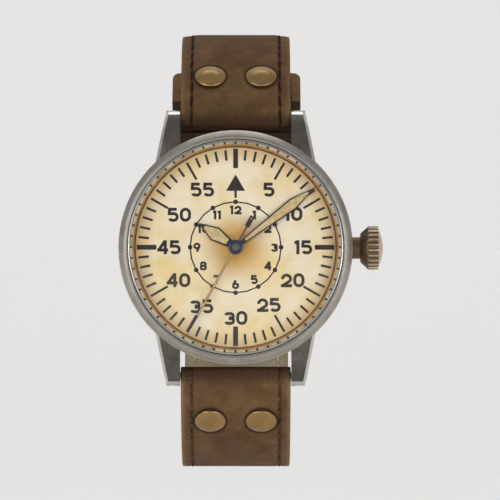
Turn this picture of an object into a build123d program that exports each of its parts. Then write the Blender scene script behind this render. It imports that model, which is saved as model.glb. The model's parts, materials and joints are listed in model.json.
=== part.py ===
from build123d import *
import os
from math import acos, asin, atan2, cos, degrees, hypot, pi, radians, sin, sqrt

os.makedirs("parts", exist_ok=True)

# A hand-wound pilot watch on a riveted leather strap, all sizes in millimetres.
# The dial faces -Y, twelve o'clock is +Z and the crown points to +X.
# Heights are counted from the flat of the case back towards the dial.

# Clearances
turning_gap = 0.05
seat_gap = 0.01
leather_gap = 0.13
loop_gap = 0.3
overrun = 2.0

# The watch is drawn in steps: a step in plan is a share of the case's radius,
# and a step in level is a share of its height with the crystal.
case_radius = 21.0
case_height = 13.0
steps_in_radius = 210
steps_in_height = 130
case_step = case_radius / steps_in_radius
level_step = case_height / steps_in_height

# Case
case_foot_radius = 203 * case_step
case_shoulder_radius = 201 * case_step
case_back_level = 14 * level_step
case_foot_level = 21 * level_step
case_shoulder_level = 89 * level_step
case_top_level = 99 * level_step
case_bore_radius = 160 * case_step
neck_inner_radius = 186 * case_step
neck_outer_radius = 191.5 * case_step
neck_level = 105 * level_step
recess_radius = 172 * case_step
recess_level = 26 * level_step

# Lugs
lug_reach = 248 * case_step
lug_tip_width = 24.5 * case_step
lug_root_width = 43.2 * case_step
lug_root_depth = 7.3 * case_step
lug_tip_low_level = 23 * level_step
lug_tip_top_level = 50 * level_step
lug_low_level = 19 * level_step
lug_crest_z = 214 * case_step
lug_crest_level = 77 * level_step
lug_tip_set_back = 13 * case_step
lug_tip_top_set_back = 3.5 * case_step
lug_bevel = 5 * case_step
bar_hole_depth = 13 * case_step

# Case back
back_flat_radius = 154 * case_step
back_flange_radius = 186 * case_step
back_flange_low = 6.5 * level_step
back_neck_wall = 9 * case_step
back_neck_level = 23 * level_step
back_floor_level = 10 * level_step
back_notches = 6
back_notch_width = 26 * case_step
back_notch_depth = 11 * case_step
back_notch_height = 5 * level_step

# Bezel, crystal and dial ring
bezel_radius = 199 * case_step
bezel_edge_level = 111.5 * level_step
bezel_lip_radius = 189 * case_step
bezel_lip_level = 116 * level_step
bezel_lip_width = 4.2 * case_step
bezel_groove_level = 110 * level_step
bezel_groove_width = 2 * case_step
bezel_edge_width = 1.6 * case_step
bezel_seat_level = 107 * level_step
crystal_foot_level = 107.5 * level_step
crystal_edge_level = 115 * level_step
crystal_crown_level = 130 * level_step
crystal_thickness = 11.5 * level_step
crystal_skirt = 3.2 * case_step
gasket_width = 1.6 * case_step
ring_foot_radius = 178 * case_step
ring_top_radius = 184.2 * case_step
ring_ledge_level = 94.5 * level_step

# Dial
dial_radius = 181 * case_step
dial_thickness = 4 * level_step
dial_hole_radius = 12 * case_step
dial_seat_gap = 1 * case_step
dial_foot_radius = 3.5 * case_step
dial_foot_place = 122 * case_step
dial_foot_bearing = 135
dial_foot_length = 13 * level_step

# Movement: plate and bridges
movement_radius = 128 * case_step
plate_low_level = 66 * level_step
plate_top_level = 78 * level_step
dial_level = 89 * level_step
bridge_low_level = 25 * level_step
bridge_top_level = 39 * level_step
plate_wall = 8 * case_step
dial_rim_wall = 12 * case_step
bridge_inset = 0.5 * case_step
cock_thickness = 6 * level_step
stem_level = 47 * level_step
jewel_radius = 7.2 * case_step
jewel_height = 5 * level_step
jewel_inset = 2 * level_step
pivot_radius = 1.2 * case_step
screw_head_radius = 8 * case_step
screw_head_height = 3 * level_step
clamp_length = 42 * case_step
clamp_width = 20 * case_step
clamp_thickness = 3 * level_step
clamp_bearings = (165, 335)
screw_slot_width = 2.2 * case_step
screw_slot_depth = 1.5 * level_step

# Going train: teeth and modules
barrel_teeth = 72
center_leaves = 12
barrel_module = 1.5 * case_step
center_teeth = 64
third_leaves = 8
third_distance = 41 * case_step
third_teeth = 60
fourth_leaves = 8
fourth_teeth = 70
escape_leaves = 7
escape_module = 1.05 * case_step
tip_share = 0.6
root_share = 1.05
tip_half_share = 0.1
root_half_share = 0.24

# Going train: places and levels
barrel_bearing = 60
third_bearing = 185
wheel_thickness = 2 * level_step
center_wheel_level = 59.8 * level_step
center_pinion_low = 49 * level_step
center_arbor_low = 48.5 * level_step
center_arbor_top = 90 * level_step
center_arbor_radius = 5.5 * case_step
center_bore_radius = 3 * case_step
third_wheel_level = 44.5 * level_step
third_arbor_radius = 3 * case_step
fourth_wheel_level = 39.8 * level_step
fourth_pinion_low = 42.5 * level_step
fourth_pinion_top = 48 * level_step
fourth_staff_radius = 2.2 * case_step
wheel_arms = 5
wheel_rim_share = 0.8
wheel_hub_radius = 12 * case_step
arm_width = 5 * case_step

# Barrel and mainspring
drum_low = 44 * level_step
drum_top = 58.5 * level_step
drum_wall = 2.5 * case_step
drum_floor = 2.5 * level_step
drum_inset = 5.5 * case_step
barrel_teeth_low = 50 * level_step
barrel_teeth_height = 3 * level_step
arbor_radius = 8 * case_step
arbor_core_radius = 12 * case_step
mainspring_thickness = 1.2 * case_step
mainspring_pitch = 3.6 * case_step
mainspring_clear = 2 * case_step
square_share = 1.3

# Escapement and balance
escape_teeth = 15
escape_radius = 20 * case_step
escape_level = 49.5 * level_step
escape_thickness = 1.5 * level_step
escape_tooth_depth = 5.5 * case_step
escape_tooth_shares = (0.42, 0.53, 0.67)
escape_arbor_radius = 2 * case_step
pallet_distance = 24 * case_step
pallet_span = 32
stone_radius = 23 * case_step
fork_bar_width = 3.4 * case_step
fork_horn_gap = 6.2 * case_step
pallet_bridge_low = 45.5 * level_step
pallet_bridge_thickness = 2.5 * level_step
pallet_foot_radius = 5 * case_step
pallet_foot_distance = 20 * case_step
pallet_foot_turns = (62, -90)
balance_distance = 76 * case_step
balance_bearing = -60
balance_pallet_distance = 29 * case_step
balance_radius = 36 * case_step
balance_rim_width = 4.2 * case_step
balance_low = 39.5 * level_step
balance_rim_height = 4.2 * level_step
balance_arms = 3
balance_arm_width = 4.5 * case_step
balance_hub_radius = 7 * case_step
staff_radius = 2.5 * case_step
roller_radius = 5 * case_step
roller_level = 52 * level_step
roller_thickness = 1.5 * level_step
impulse_pin_radius = 0.7 * case_step
impulse_pin_place = 4 * case_step
hairspring_level = 36 * level_step
hairspring_height = 1.4 * level_step
hairspring_thickness = 0.5 * case_step
hairspring_inner_radius = 5.5 * case_step
hairspring_pitch = 2 * case_step
hairspring_turns = 8

# Motion works
cannon_leaves = 12
minute_teeth = 36
minute_leaves = 10
hour_teeth = 40
setting_teeth = 18
motion_module = 1.4 * case_step
motion_level = 79.2 * level_step
cannon_leaf_height = 2.8 * level_step
cannon_pipe_radius = 7.5 * case_step
hour_wheel_level = 83.8 * level_step
minute_pinion_top = 86.2 * level_step
hour_pipe_wall = 2.5 * case_step
minute_post_radius = 3.5 * case_step
hour_pipe_top = 98.5 * level_step
cannon_pipe_top = 102.5 * level_step

# Keyless works and winding wheels
winding_leaves = 14
crown_wheel_teeth = 26
ratchet_teeth = 44
winding_module = 2 * case_step
winding_wheel_level = 29.5 * level_step
winding_wheel_thickness = 4 * level_step
recess_floor_level = 34.5 * level_step
wheel_recess_gap = 1.5 * case_step
crown_wheel_bore = 7 * case_step
stem_radius = 6 * case_step
stem_square = 8.2 * case_step
stem_tip_radius = 3.5 * case_step
stem_tip_start = 52 * case_step
stem_block_start = 58 * case_step
stem_block_end = 66 * case_step
stem_block_width = 12 * case_step
stem_square_start = 69 * case_step
stem_round_start = 99 * case_step
winding_pinion_gap = 0.3 * case_step
winding_pinion_length = 11 * case_step
clutch_start = 75 * case_step
clutch_length = 22.5 * case_step
clutch_radius = 9.5 * case_step
clutch_groove_place = 86 * case_step
clutch_groove_width = 5.5 * case_step
clutch_groove_depth = 3 * case_step
stem_groove_place = 113.8 * case_step
stem_groove_width = 5 * case_step
stem_groove_depth = 2.2 * case_step
clutch_pocket_start = 67.5 * case_step
clutch_pocket_width = 24 * case_step
clutch_pocket_level = 36.2 * level_step
pinion_window_width = 35 * case_step
pinion_window_start = 98.5 * case_step
pinion_window_end = 115 * case_step
lever_window_start = 110 * case_step
lever_window_end = 132 * case_step
lever_window_width = 36 * case_step
lever_window_level = 49 * level_step
crown_pull = 10 * case_step
clutch_travel_share = 0.45
keyless_level = 62.5 * level_step
keyless_thickness = 2.5 * level_step
yoke_length = 34 * case_step
yoke_width = 6 * case_step
yoke_pin_radius = 1.8 * case_step
keyless_pivot_radius = 3 * case_step
keyless_hub_radius = 6.5 * case_step
lever_pivot_x = 109 * case_step
lever_pivot_z = 24 * case_step
lever_width = 6 * case_step
lever_pin_radius = 1.5 * case_step
pin_depth_gap = 0.7 * case_step

# Click
click_distance = 54.5 * case_step
click_bearing = 112
click_radius = 6.2 * case_step
click_beak_width = 4 * case_step
click_beak_gap = 0.9 * case_step
click_screw_radius = 3 * case_step
click_recess_radius = 9.5 * case_step

# Outlines of the bridges, in shares of the movement's radius
barrel_bridge_shares = ((0.058, 0.101), (0.36, -0.1875), (1.1, -0.38), (1.3, 1.3), (-0.725, 0.688))
train_bridge_shares = (
    (0.048, 0.084),
    (0.341, -0.202),
    (0.016, -1.02),
    (-1.3, -1.1),
    (-1.3, 0.656),
    (-0.755, 0.656),
)
cock_hub_radius = 17 * case_step
cock_foot_bearings = (-82, -40)
cock_foot_distance = 117 * case_step
balance_window_gap = 3.5 * case_step
bridge_screw_bearings = (5, 112, 150, 222, 256, -72, -48)
bridge_screw_distance = 120 * case_step

# Crown and its tube
tube_radius = 19.5 * case_step
tube_bore_radius = 10 * case_step
tube_start = 156 * case_step
tube_end = 243 * case_step
crown_neck_end = 224.3 * case_step
crown_cone_radius = 26 * case_step
crown_radius = 39.5 * case_step
crown_cone_end = 239 * case_step
crown_flute_end = 257 * case_step
crown_dome_end = 265 * case_step
crown_bore_radius = 22 * case_step
crown_bore_end = 247.5 * case_step
crown_flutes = 24
crown_flute_radius = 4.2 * case_step
crown_flute_share = 1.03
crown_dome_share = 0.86
crown_gasket_start = 227.5 * case_step
crown_gasket_length = 6 * case_step

# Hands
hour_hand_level = 96.8 * level_step
minute_hand_level = 100.8 * level_step
seconds_hand_level = 105.2 * level_step
hand_thickness = 1.4 * level_step
seconds_thickness = 1 * level_step
hour_hand_length = 78 * case_step
hour_hand_width = 27 * case_step
hour_hand_belly = 44 * case_step
hour_hand_hub = 13.5 * case_step
minute_hand_length = 177 * case_step
minute_hand_width = 21 * case_step
minute_hand_belly = 127 * case_step
minute_hand_neck = 7 * case_step
minute_hand_hub = 12 * case_step
hour_hand_neck = 10 * case_step
tip_width = 1.6 * case_step
seconds_hand_length = 180 * case_step
seconds_tail_length = 63 * case_step
seconds_weight_start = 41 * case_step
seconds_weight_width = 8.7 * case_step
seconds_lume_start = 36 * case_step
seconds_lume_end = 140 * case_step
seconds_width = 5 * case_step
seconds_stem_width = 3.6 * case_step
seconds_tip_width = 1.4 * case_step
seconds_hub_radius = 14 * case_step
cap_radius = 5.5 * case_step
cap_height = 2.2 * level_step
hour_hand_bearing = 303
minute_hand_bearing = 53
seconds_hand_bearing = 209

# The loop that the strap follows: one arc at each lug and one round the wrist
bar_z = 230.5 * case_step
leave_angle = 32.5
front_radius = 32.4
front_centre_z = bar_z - front_radius * sin(radians(leave_angle))
front_run = front_radius * radians(90 - leave_angle)
back_radius = front_centre_z + front_radius
loop_length = 2 * front_run + pi * back_radius

# Strap: a step along it is a share of the loop, a step across it a share of its width,
# and a step through it a share of its thickness
strap_width = 19.8
strap_thickness = 3.4
steps_in_width = 198
steps_in_thickness = 34
steps_in_loop = 1845
width_step = strap_width / steps_in_width
thick_step = strap_thickness / steps_in_thickness
run_step = loop_length / steps_in_loop
pin_place = 780 * run_step
pad_rise = 7.5 * thick_step
pad_start = 12 * run_step
pad_crest = 100 * run_step
pad_end = 270 * run_step
lining_start = 32 * run_step
lining_end = 584 * run_step
turn_in_start = 589 * run_step
long_strap_length = 940 * run_step
tail_point_length = 100 * run_step
tail_point_share = 0.42
strap_holes = 7
strap_hole_radius = 10 * width_step
strap_hole_spacing = 65 * run_step
last_hole_inset = 160 * run_step
lining_inset = 4 * run_step

# Spring bars
bar_radius = 7.5 * thick_step
bar_tip_radius = 4 * thick_step
bar_level = 38 * level_step

# Rivets
rivet_radius = 28 * width_step
rivet_dome = 11.5 * width_step
rivet_spacing = 92 * width_step
rivet_place = 84 * run_step
rivet_shank_radius = 8 * width_step
rivet_washer_radius = 20 * width_step
rivet_washer_thickness = 3.5 * thick_step
rivet_sink = 2 * thick_step
rivet_edge = 1.5 * width_step
washer_sink = thick_step

# Keepers
keeper_width = 244 * width_step
keeper_wall = 13 * thick_step
keeper_length = 64 * run_step
keeper_tail_room = 33 * thick_step
keeper_inner_rounding = 4 * thick_step
fixed_keeper_place = 680 * run_step
free_keeper_place = 602 * run_step

# Buckle
buckle_pin_radius = 5.5 * thick_step
buckle_inner_width = 206 * width_step
buckle_bar = 19 * thick_step
buckle_reach = 100 * run_step
buckle_thickness = 19 * thick_step
buckle_corner_radius = 24 * width_step
buckle_ear_radius = 13.5 * thick_step
tongue_width = 22 * width_step
tongue_thickness = 11 * thick_step
tongue_ring_radius = 11.5 * thick_step
tongue_slot_width = 30 * width_step
tongue_slot_start = 742 * run_step
tongue_overhang = 6 * run_step

# Sizes that follow from those above
back_neck_radius = recess_radius - turning_gap
barrel_radius = barrel_module * barrel_teeth / 2
barrel_distance = barrel_radius + barrel_module * center_leaves / 2
center_module = 2 * third_distance / (center_teeth + third_leaves)
third_module = 2 * third_distance / (third_teeth + fourth_leaves)
escape_distance = escape_module * (fourth_teeth + escape_leaves) / 2
minute_distance = motion_module * (cannon_leaves + minute_teeth) / 2
hour_module = 2 * minute_distance / (minute_leaves + hour_teeth)
setting_distance = motion_module * (minute_teeth + setting_teeth) / 2
ratchet_distance = winding_module * (crown_wheel_teeth + ratchet_teeth) / 2
crown_wheel_radius = winding_module * crown_wheel_teeth / 2
drum_radius = barrel_radius - drum_inset
drum_bore = drum_radius - drum_wall
strap_half = strap_thickness / 2
dial_top = dial_level + dial_thickness
bar_y = -bar_level


def place(distance, bearing):
    """The point (x, z) at a distance and a bearing, counted from +X towards twelve o'clock."""
    return distance * cos(radians(bearing)), distance * sin(radians(bearing))


def between(start, end, share):
    """The point a share of the way from one point to another."""
    return tuple(a + share * (b - a) for a, b in zip(start, end))


barrel_place = place(barrel_distance, barrel_bearing)
third_place = place(third_distance, third_bearing)
balance_place = place(balance_distance, balance_bearing)
minute_place = (minute_distance, 0)
setting_place = (minute_distance + setting_distance, 0)
crown_wheel_place = (
    barrel_place[0] + sqrt(ratchet_distance**2 - barrel_place[1] ** 2),
    0,
)

clutch_travel = crown_pull * clutch_travel_share
yoke_pivot = (clutch_groove_place - clutch_travel / 2, -yoke_length)
lever_pivot = (lever_pivot_x, lever_pivot_z)
winding_pinion_start = (
    crown_wheel_place[0] + crown_wheel_radius - root_share * winding_module + winding_pinion_gap
)

# The escape wheel stands where the fourth wheel and the line of the lever put it
escape_balance_distance = pallet_distance + balance_pallet_distance
escape_turn = degrees(
    acos(
        (escape_distance**2 + balance_distance**2 - escape_balance_distance**2)
        / (2 * escape_distance * balance_distance)
    )
)
escape_bearing = balance_bearing - escape_turn
escape_place = place(escape_distance, escape_bearing)
pallet_place = between(
    escape_place, balance_place, pallet_distance / escape_balance_distance
)
lever_bearing = degrees(
    atan2(balance_place[1] - escape_place[1], balance_place[0] - escape_place[0])
)


def level(height, at=(0, 0)):
    """A drawing plane parallel to the dial that looks out through the crystal."""
    return Plane(origin=(at[0], -height, at[1]), x_dir=(1, 0, 0), z_dir=(0, -1, 0))


def turned(points, at=(0, 0)):
    """Turn a closed outline of (radius, height) points about an arbor."""
    with BuildSketch(Plane(origin=(at[0], 0, at[1]), x_dir=(1, 0, 0), z_dir=(0, 0, -1))) as half:
        with BuildLine():
            Polyline(*points, close=True)
        make_face()
    revolve(half.sketch, axis=Axis((at[0], 0, at[1]), (0, 1, 0)))


def disc(radius, low, high, at=(0, 0), mode=Mode.ADD):
    """Add or cut a round bar that stands between two heights."""
    with BuildSketch(level(low, at)) as round_face:
        Circle(radius)
    extrude(round_face.sketch, amount=high - low, mode=mode)


def along_stem(radius, start, end, mode=Mode.ADD):
    """Add or cut a round bar on the axis of the stem."""
    with BuildSketch(Plane.YZ.offset(start)) as round_face:
        with Locations((-stem_level, 0)):
            Circle(radius)
    extrude(round_face.sketch, amount=end - start, mode=mode)


def slab(start, end, width, low, high, mode=Mode.ADD):
    """Add or cut a block that lies along the stem, from one x to another."""
    with BuildSketch(level(low)) as face:
        with Locations((start, 0)):
            Rectangle(end - start, width, align=(Align.MIN, Align.CENTER))
    extrude(face.sketch, amount=high - low, mode=mode)


def polar_point(radius, angle):
    """The point at a radius and an angle in degrees."""
    return radius * cos(radians(angle)), radius * sin(radians(angle))


def tooth_points(teeth, module, phase):
    """The corners of a wheel with straight-sided teeth, four to a tooth."""
    pitch = 360 / teeth
    radius = module * teeth / 2
    root = radius - root_share * module
    tip = radius + tip_share * module
    corners = []
    for tooth in range(teeth):
        middle = phase + tooth * pitch
        corners += [
            polar_point(root, middle - root_half_share * pitch),
            polar_point(tip, middle - tip_half_share * pitch),
            polar_point(tip, middle + tip_half_share * pitch),
            polar_point(root, middle + root_half_share * pitch),
        ]
    return corners


def toothed(teeth, module, low, height, at=(0, 0), phase=0):
    """Add a disc with teeth."""
    with BuildSketch(level(low, at)) as outline:
        with BuildLine():
            Polyline(*tooth_points(teeth, module, phase), close=True)
        make_face()
    extrude(outline.sketch, amount=height)


def crossings(rim_radius, low, height, at=(0, 0)):
    """Cut the gaps between the arms of a wheel."""
    with BuildSketch(level(low, at)) as gaps:
        Circle(rim_radius)
        Circle(wheel_hub_radius, mode=Mode.SUBTRACT)
        with PolarLocations(0, wheel_arms):
            Rectangle(
                rim_radius + overrun, arm_width, align=(Align.MIN, Align.CENTER), mode=Mode.SUBTRACT
            )
    extrude(gaps.sketch, amount=height, mode=Mode.SUBTRACT)


def in_mesh(phase, teeth, bearing, other_teeth):
    """The phase that puts another wheel's teeth in this one's gaps along a bearing."""
    turn = (phase - bearing) / (360 / teeth) + 0.5
    return bearing + 180 - turn * 360 / other_teeth


def jewel_seat(at, low, mode=Mode.ADD):
    """Add a jewel without its hole, or cut its seat."""
    spare = seat_gap if mode == Mode.SUBTRACT else 0
    disc(jewel_radius + spare, low, low + jewel_height, at, mode)


def coil(inner_radius, pitch, half_turns, thickness, low, height, at=(0, 0)):
    """Add a flat spiral of strip, made of half circles on two centres."""
    near, far = [], []
    for turn in range(half_turns):
        side = -1 if turn % 2 == 0 else 1
        centre = side * pitch / 4
        radius = inner_radius + (turn + 0.5) * pitch / 2
        for edge, wall in ((near, -thickness / 2), (far, thickness / 2)):
            edge.append([
                (centre + (radius + wall) * cos(angle), (radius + wall) * sin(angle))
                for angle in (turn * pi, (turn + 0.5) * pi, (turn + 1) * pi)
            ])
    with BuildSketch(level(low, at)) as strip:
        with BuildLine():
            for three in near + far:
                ThreePointArc(*three)
            Line(near[0][0], far[0][0])
            Line(near[-1][2], far[-1][2])
        make_face()
    extrude(strip.sketch, amount=height)


def cap_rise(base_radius, rise, distance):
    """How high a round cap stands above its base at a distance from its middle."""
    ball = (base_radius**2 + rise**2) / (2 * rise)
    return rise - ball + sqrt(ball**2 - distance**2)


def across(radius, half_length, centre, mode=Mode.ADD):
    """Add or cut a round bar that lies across the strap, at a point (y, z)."""
    with BuildSketch(Plane.YZ.offset(-half_length)) as round_face:
        with Locations(centre):
            Circle(radius)
    extrude(round_face.sketch, amount=2 * half_length, mode=mode)


def flat_hand(height, thickness, bearing, stations, hub_radius):
    """Add a hand: half widths along a clock bearing, and a round hub."""
    outline = [*stations, *[(distance, -half) for distance, half in reversed(stations)]]
    with BuildSketch(level(height)) as flat:
        with Locations(Location((0, 0), 90 - bearing)):
            Polygon(*outline, align=None)
        Circle(hub_radius)
    extrude(flat.sketch, amount=thickness)


def strap_turn(run):
    """How far the strap has turned, in degrees, at a run from its spring bar."""
    if run <= front_run:
        return leave_angle + degrees(run / front_radius)
    return 90 + degrees((run - front_run) / back_radius)


def strap_point(run, rise, side):
    """The point (y, z) at a run along the strap and a rise out of its middle."""
    angle = radians(strap_turn(run))
    if run <= front_run:
        radius, centre_z = front_radius, front_centre_z
    else:
        radius, centre_z = back_radius, 0
    return (
        loop_centre_y - (radius + rise) * cos(angle),
        side * (centre_z + (radius + rise) * sin(angle)),
    )


def strap_plane(run, rise, side):
    """The plane that touches the strap at a run: x across it and z out of it."""
    y, z = strap_point(run, rise, side)
    angle = radians(strap_turn(run))
    return Plane(origin=(0, y, z), x_dir=(1, 0, 0), z_dir=(0, -cos(angle), side * sin(angle)))


def strap_arcs(start, end, rise, side):
    """Draw the strap's curve at a rise, from one run to another, either way."""
    stops = [start, end]
    if min(stops) < front_run < max(stops):
        stops.insert(1, front_run)
    for first, last in zip(stops, stops[1:]):
        ThreePointArc(
            strap_point(first, rise, side),
            strap_point((first + last) / 2, rise, side),
            strap_point(last, rise, side),
        )


# Where the middles of the loop's arcs lie behind the case
loop_centre_y = bar_y + front_radius * cos(radians(leave_angle))


# Case: one ring with four lugs
lug_x = strap_width / 2 + leather_gap
lug_root_x = lug_x + lug_root_width
lug_root_z = sqrt(case_radius**2 - lug_root_x**2)
lug_inside_z = lug_root_z - lug_root_depth
with BuildPart() as lug:
    with BuildSketch(Plane.YZ.offset(lug_x)):
        with BuildLine():
            Polyline(
                (-case_shoulder_level, lug_root_z),
                (-case_shoulder_level, lug_inside_z),
                (-lug_low_level, lug_inside_z),
                (-lug_low_level, lug_reach - 2 * lug_tip_set_back),
                (-lug_tip_low_level, lug_reach - lug_tip_set_back),
            )
            ThreePointArc(
                (-lug_tip_low_level, lug_reach - lug_tip_set_back),
                (-(lug_tip_low_level + lug_tip_top_level) / 2, lug_reach),
                (-lug_tip_top_level, lug_reach - lug_tip_top_set_back),
            )
            ThreePointArc(
                (-lug_tip_top_level, lug_reach - lug_tip_top_set_back),
                (-lug_crest_level, lug_crest_z),
                (-case_shoulder_level, lug_root_z),
            )
        make_face()
    extrude(amount=lug_root_x - lug_x)
    with BuildSketch(level(0)):
        Polygon(
            (lug_x, lug_inside_z),
            (lug_x, lug_reach),
            (lug_x + lug_tip_width, lug_reach),
            (lug_root_x, lug_root_z),
            (lug_root_x, lug_inside_z),
            align=None,
        )
    extrude(amount=case_top_level, mode=Mode.INTERSECT)
    chamfer(lug.edges().filter_by(GeomType.ELLIPSE).sort_by(SortBy.LENGTH)[-1], length=lug_bevel)

with BuildPart() as case_middle:
    turned([
        (recess_radius, case_back_level),
        (case_foot_radius, case_back_level),
        (case_radius, case_foot_level),
        (case_radius, case_shoulder_level),
        (case_shoulder_radius, case_top_level),
        (neck_outer_radius, case_top_level),
        (neck_outer_radius, neck_level),
        (neck_inner_radius, neck_level),
        (neck_inner_radius, ring_ledge_level),
        (dial_radius + dial_seat_gap, ring_ledge_level),
        (dial_radius + dial_seat_gap, dial_level),
        (case_bore_radius, dial_level),
        (case_bore_radius, recess_level),
        (recess_radius, recess_level),
    ])
    add(lug.part)
    mirror(lug.part, about=Plane.XY)
    mirror(lug.part, about=Plane.YZ)
    mirror(lug.part.mirror(Plane.XY), about=Plane.YZ)
    for side in (1, -1):
        with BuildSketch(Plane.YZ.offset(-lug_x - bar_hole_depth)):
            with Locations((bar_y, side * bar_z)):
                Circle(bar_tip_radius + turning_gap)
        extrude(amount=2 * (lug_x + bar_hole_depth), mode=Mode.SUBTRACT)
    along_stem(tube_radius + seat_gap, case_bore_radius - overrun, case_radius + overrun, Mode.SUBTRACT)
case_middle.part.label = "case_middle"
export_step(case_middle.part, "parts/case_middle.step")

# Case back: a flanged disc that drops into the back of the case
with BuildPart() as case_back:
    turned([
        (0, 0),
        (back_flat_radius, 0),
        (back_flange_radius, back_flange_low),
        (back_flange_radius, case_back_level),
        (back_neck_radius, case_back_level),
        (back_neck_radius, back_neck_level),
        (back_neck_radius - back_neck_wall, back_neck_level),
        (back_neck_radius - back_neck_wall, back_floor_level),
        (0, back_floor_level),
    ])
    with BuildSketch(level(0)):
        with PolarLocations(back_flange_radius, back_notches):
            Rectangle(2 * back_notch_depth, back_notch_width)
    extrude(amount=back_flange_low + back_notch_height, mode=Mode.SUBTRACT)
case_back.part.label = "case_back"
export_step(case_back.part, "parts/case_back.step")

with BuildPart() as back_gasket:
    turned([
        (back_neck_radius - back_neck_wall, back_neck_level),
        (back_neck_radius, back_neck_level),
        (back_neck_radius, recess_level),
        (back_neck_radius - back_neck_wall, recess_level),
    ])
back_gasket.part.label = "back_gasket"
export_step(back_gasket.part, "parts/back_gasket.step")

# Bezel: a turned ring with a groove round its lip
lip_outer = bezel_lip_radius + bezel_lip_width
with BuildPart() as bezel:
    turned([
        (neck_outer_radius + seat_gap, case_top_level),
        (bezel_radius, case_top_level),
        (bezel_radius, bezel_edge_level - bezel_edge_width),
        (bezel_radius - bezel_edge_width, bezel_edge_level),
        (lip_outer + bezel_groove_width, bezel_groove_level),
        (lip_outer, bezel_groove_level),
        (lip_outer, bezel_lip_level - bezel_edge_width),
        (lip_outer - bezel_edge_width, bezel_lip_level),
        (bezel_lip_radius, bezel_lip_level),
        (bezel_lip_radius, bezel_seat_level),
        (neck_outer_radius + seat_gap, bezel_seat_level),
    ])
bezel.part.label = "bezel"
export_step(bezel.part, "parts/bezel.step")

# Crystal: a domed disc with a short skirt, held in a gasket
crystal_radius = bezel_lip_radius - gasket_width
crystal_inner_radius = crystal_radius - crystal_skirt
with BuildPart() as crystal:
    with BuildSketch(Plane(origin=(0, 0, 0), x_dir=(1, 0, 0), z_dir=(0, 0, -1))):
        with BuildLine():
            dome = ThreePointArc(
                (-crystal_radius, crystal_edge_level),
                (0, crystal_crown_level),
                (crystal_radius, crystal_edge_level),
            )
            Line(dome @ 1, (crystal_radius, crystal_foot_level))
            Line((crystal_radius, crystal_foot_level), (crystal_inner_radius, crystal_foot_level))
            ceiling = ThreePointArc(
                (crystal_inner_radius, crystal_foot_level),
                (0, crystal_crown_level - crystal_thickness),
                (-crystal_inner_radius, crystal_foot_level),
            )
            Line(ceiling @ 1, (-crystal_radius, crystal_foot_level))
            Line((-crystal_radius, crystal_foot_level), dome @ 0)
        make_face()
        Rectangle(
            2 * case_radius, 2 * crystal_crown_level, align=(Align.MAX, Align.CENTER), mode=Mode.SUBTRACT
        )
    revolve(axis=Axis.Y)
crystal.part.label = "crystal"
export_step(crystal.part, "parts/crystal.step")

with BuildPart() as crystal_gasket:
    turned([
        (crystal_radius + seat_gap, bezel_seat_level),
        (bezel_lip_radius - seat_gap, bezel_seat_level),
        (bezel_lip_radius - seat_gap, crystal_edge_level),
        (crystal_radius + seat_gap, crystal_edge_level),
    ])
crystal_gasket.part.label = "crystal_gasket"
export_step(crystal_gasket.part, "parts/crystal_gasket.step")

# Dial ring: the sloping wall between the dial and the crystal
with BuildPart() as dial_ring:
    turned([
        (ring_foot_radius, dial_top),
        (dial_radius, dial_top),
        (dial_radius, ring_ledge_level),
        (neck_inner_radius - seat_gap, ring_ledge_level),
        (neck_inner_radius - seat_gap, bezel_seat_level),
        (ring_top_radius, bezel_seat_level),
    ])
dial_ring.part.label = "dial_ring"
export_step(dial_ring.part, "parts/dial_ring.step")

# Dial: a thin disc on two feet
with BuildPart() as dial:
    disc(dial_radius, dial_level, dial_top)
    for turn in (0, 180):
        foot = place(dial_foot_place, dial_foot_bearing + turn)
        disc(dial_foot_radius, dial_level - dial_foot_length, dial_level, foot)
    disc(dial_hole_radius, dial_level, dial_top, mode=Mode.SUBTRACT)
dial.part.label = "dial"
export_step(dial.part, "parts/dial.step")

# Movement ring: it centres the movement in the wider case
with BuildPart() as movement_ring:
    turned([
        (movement_radius + turning_gap, bridge_low_level),
        (case_bore_radius - turning_gap, bridge_low_level),
        (case_bore_radius - turning_gap, dial_level),
        (movement_radius + turning_gap, dial_level),
    ])
    along_stem(tube_radius + turning_gap, movement_radius, case_bore_radius + overrun, Mode.SUBTRACT)
movement_ring.part.label = "movement_ring"
export_step(movement_ring.part, "parts/movement_ring.step")

# Clamps: two tabs that hold the movement in its ring
clamp_low = bridge_low_level - clamp_thickness
with BuildPart() as case_clamps:
    for bearing in clamp_bearings:
        with BuildSketch(level(clamp_low)):
            with PolarLocations(movement_radius, 1, start_angle=bearing):
                SlotOverall(clamp_length, clamp_width)
        extrude(amount=clamp_thickness)
        screw_place = place((movement_radius + case_bore_radius) / 2, bearing)
        disc(screw_head_radius, clamp_low - screw_head_height, clamp_low, screw_place)
case_clamps.part.label = "case_clamps"
export_step(case_clamps.part, "parts/case_clamps.step")

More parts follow.
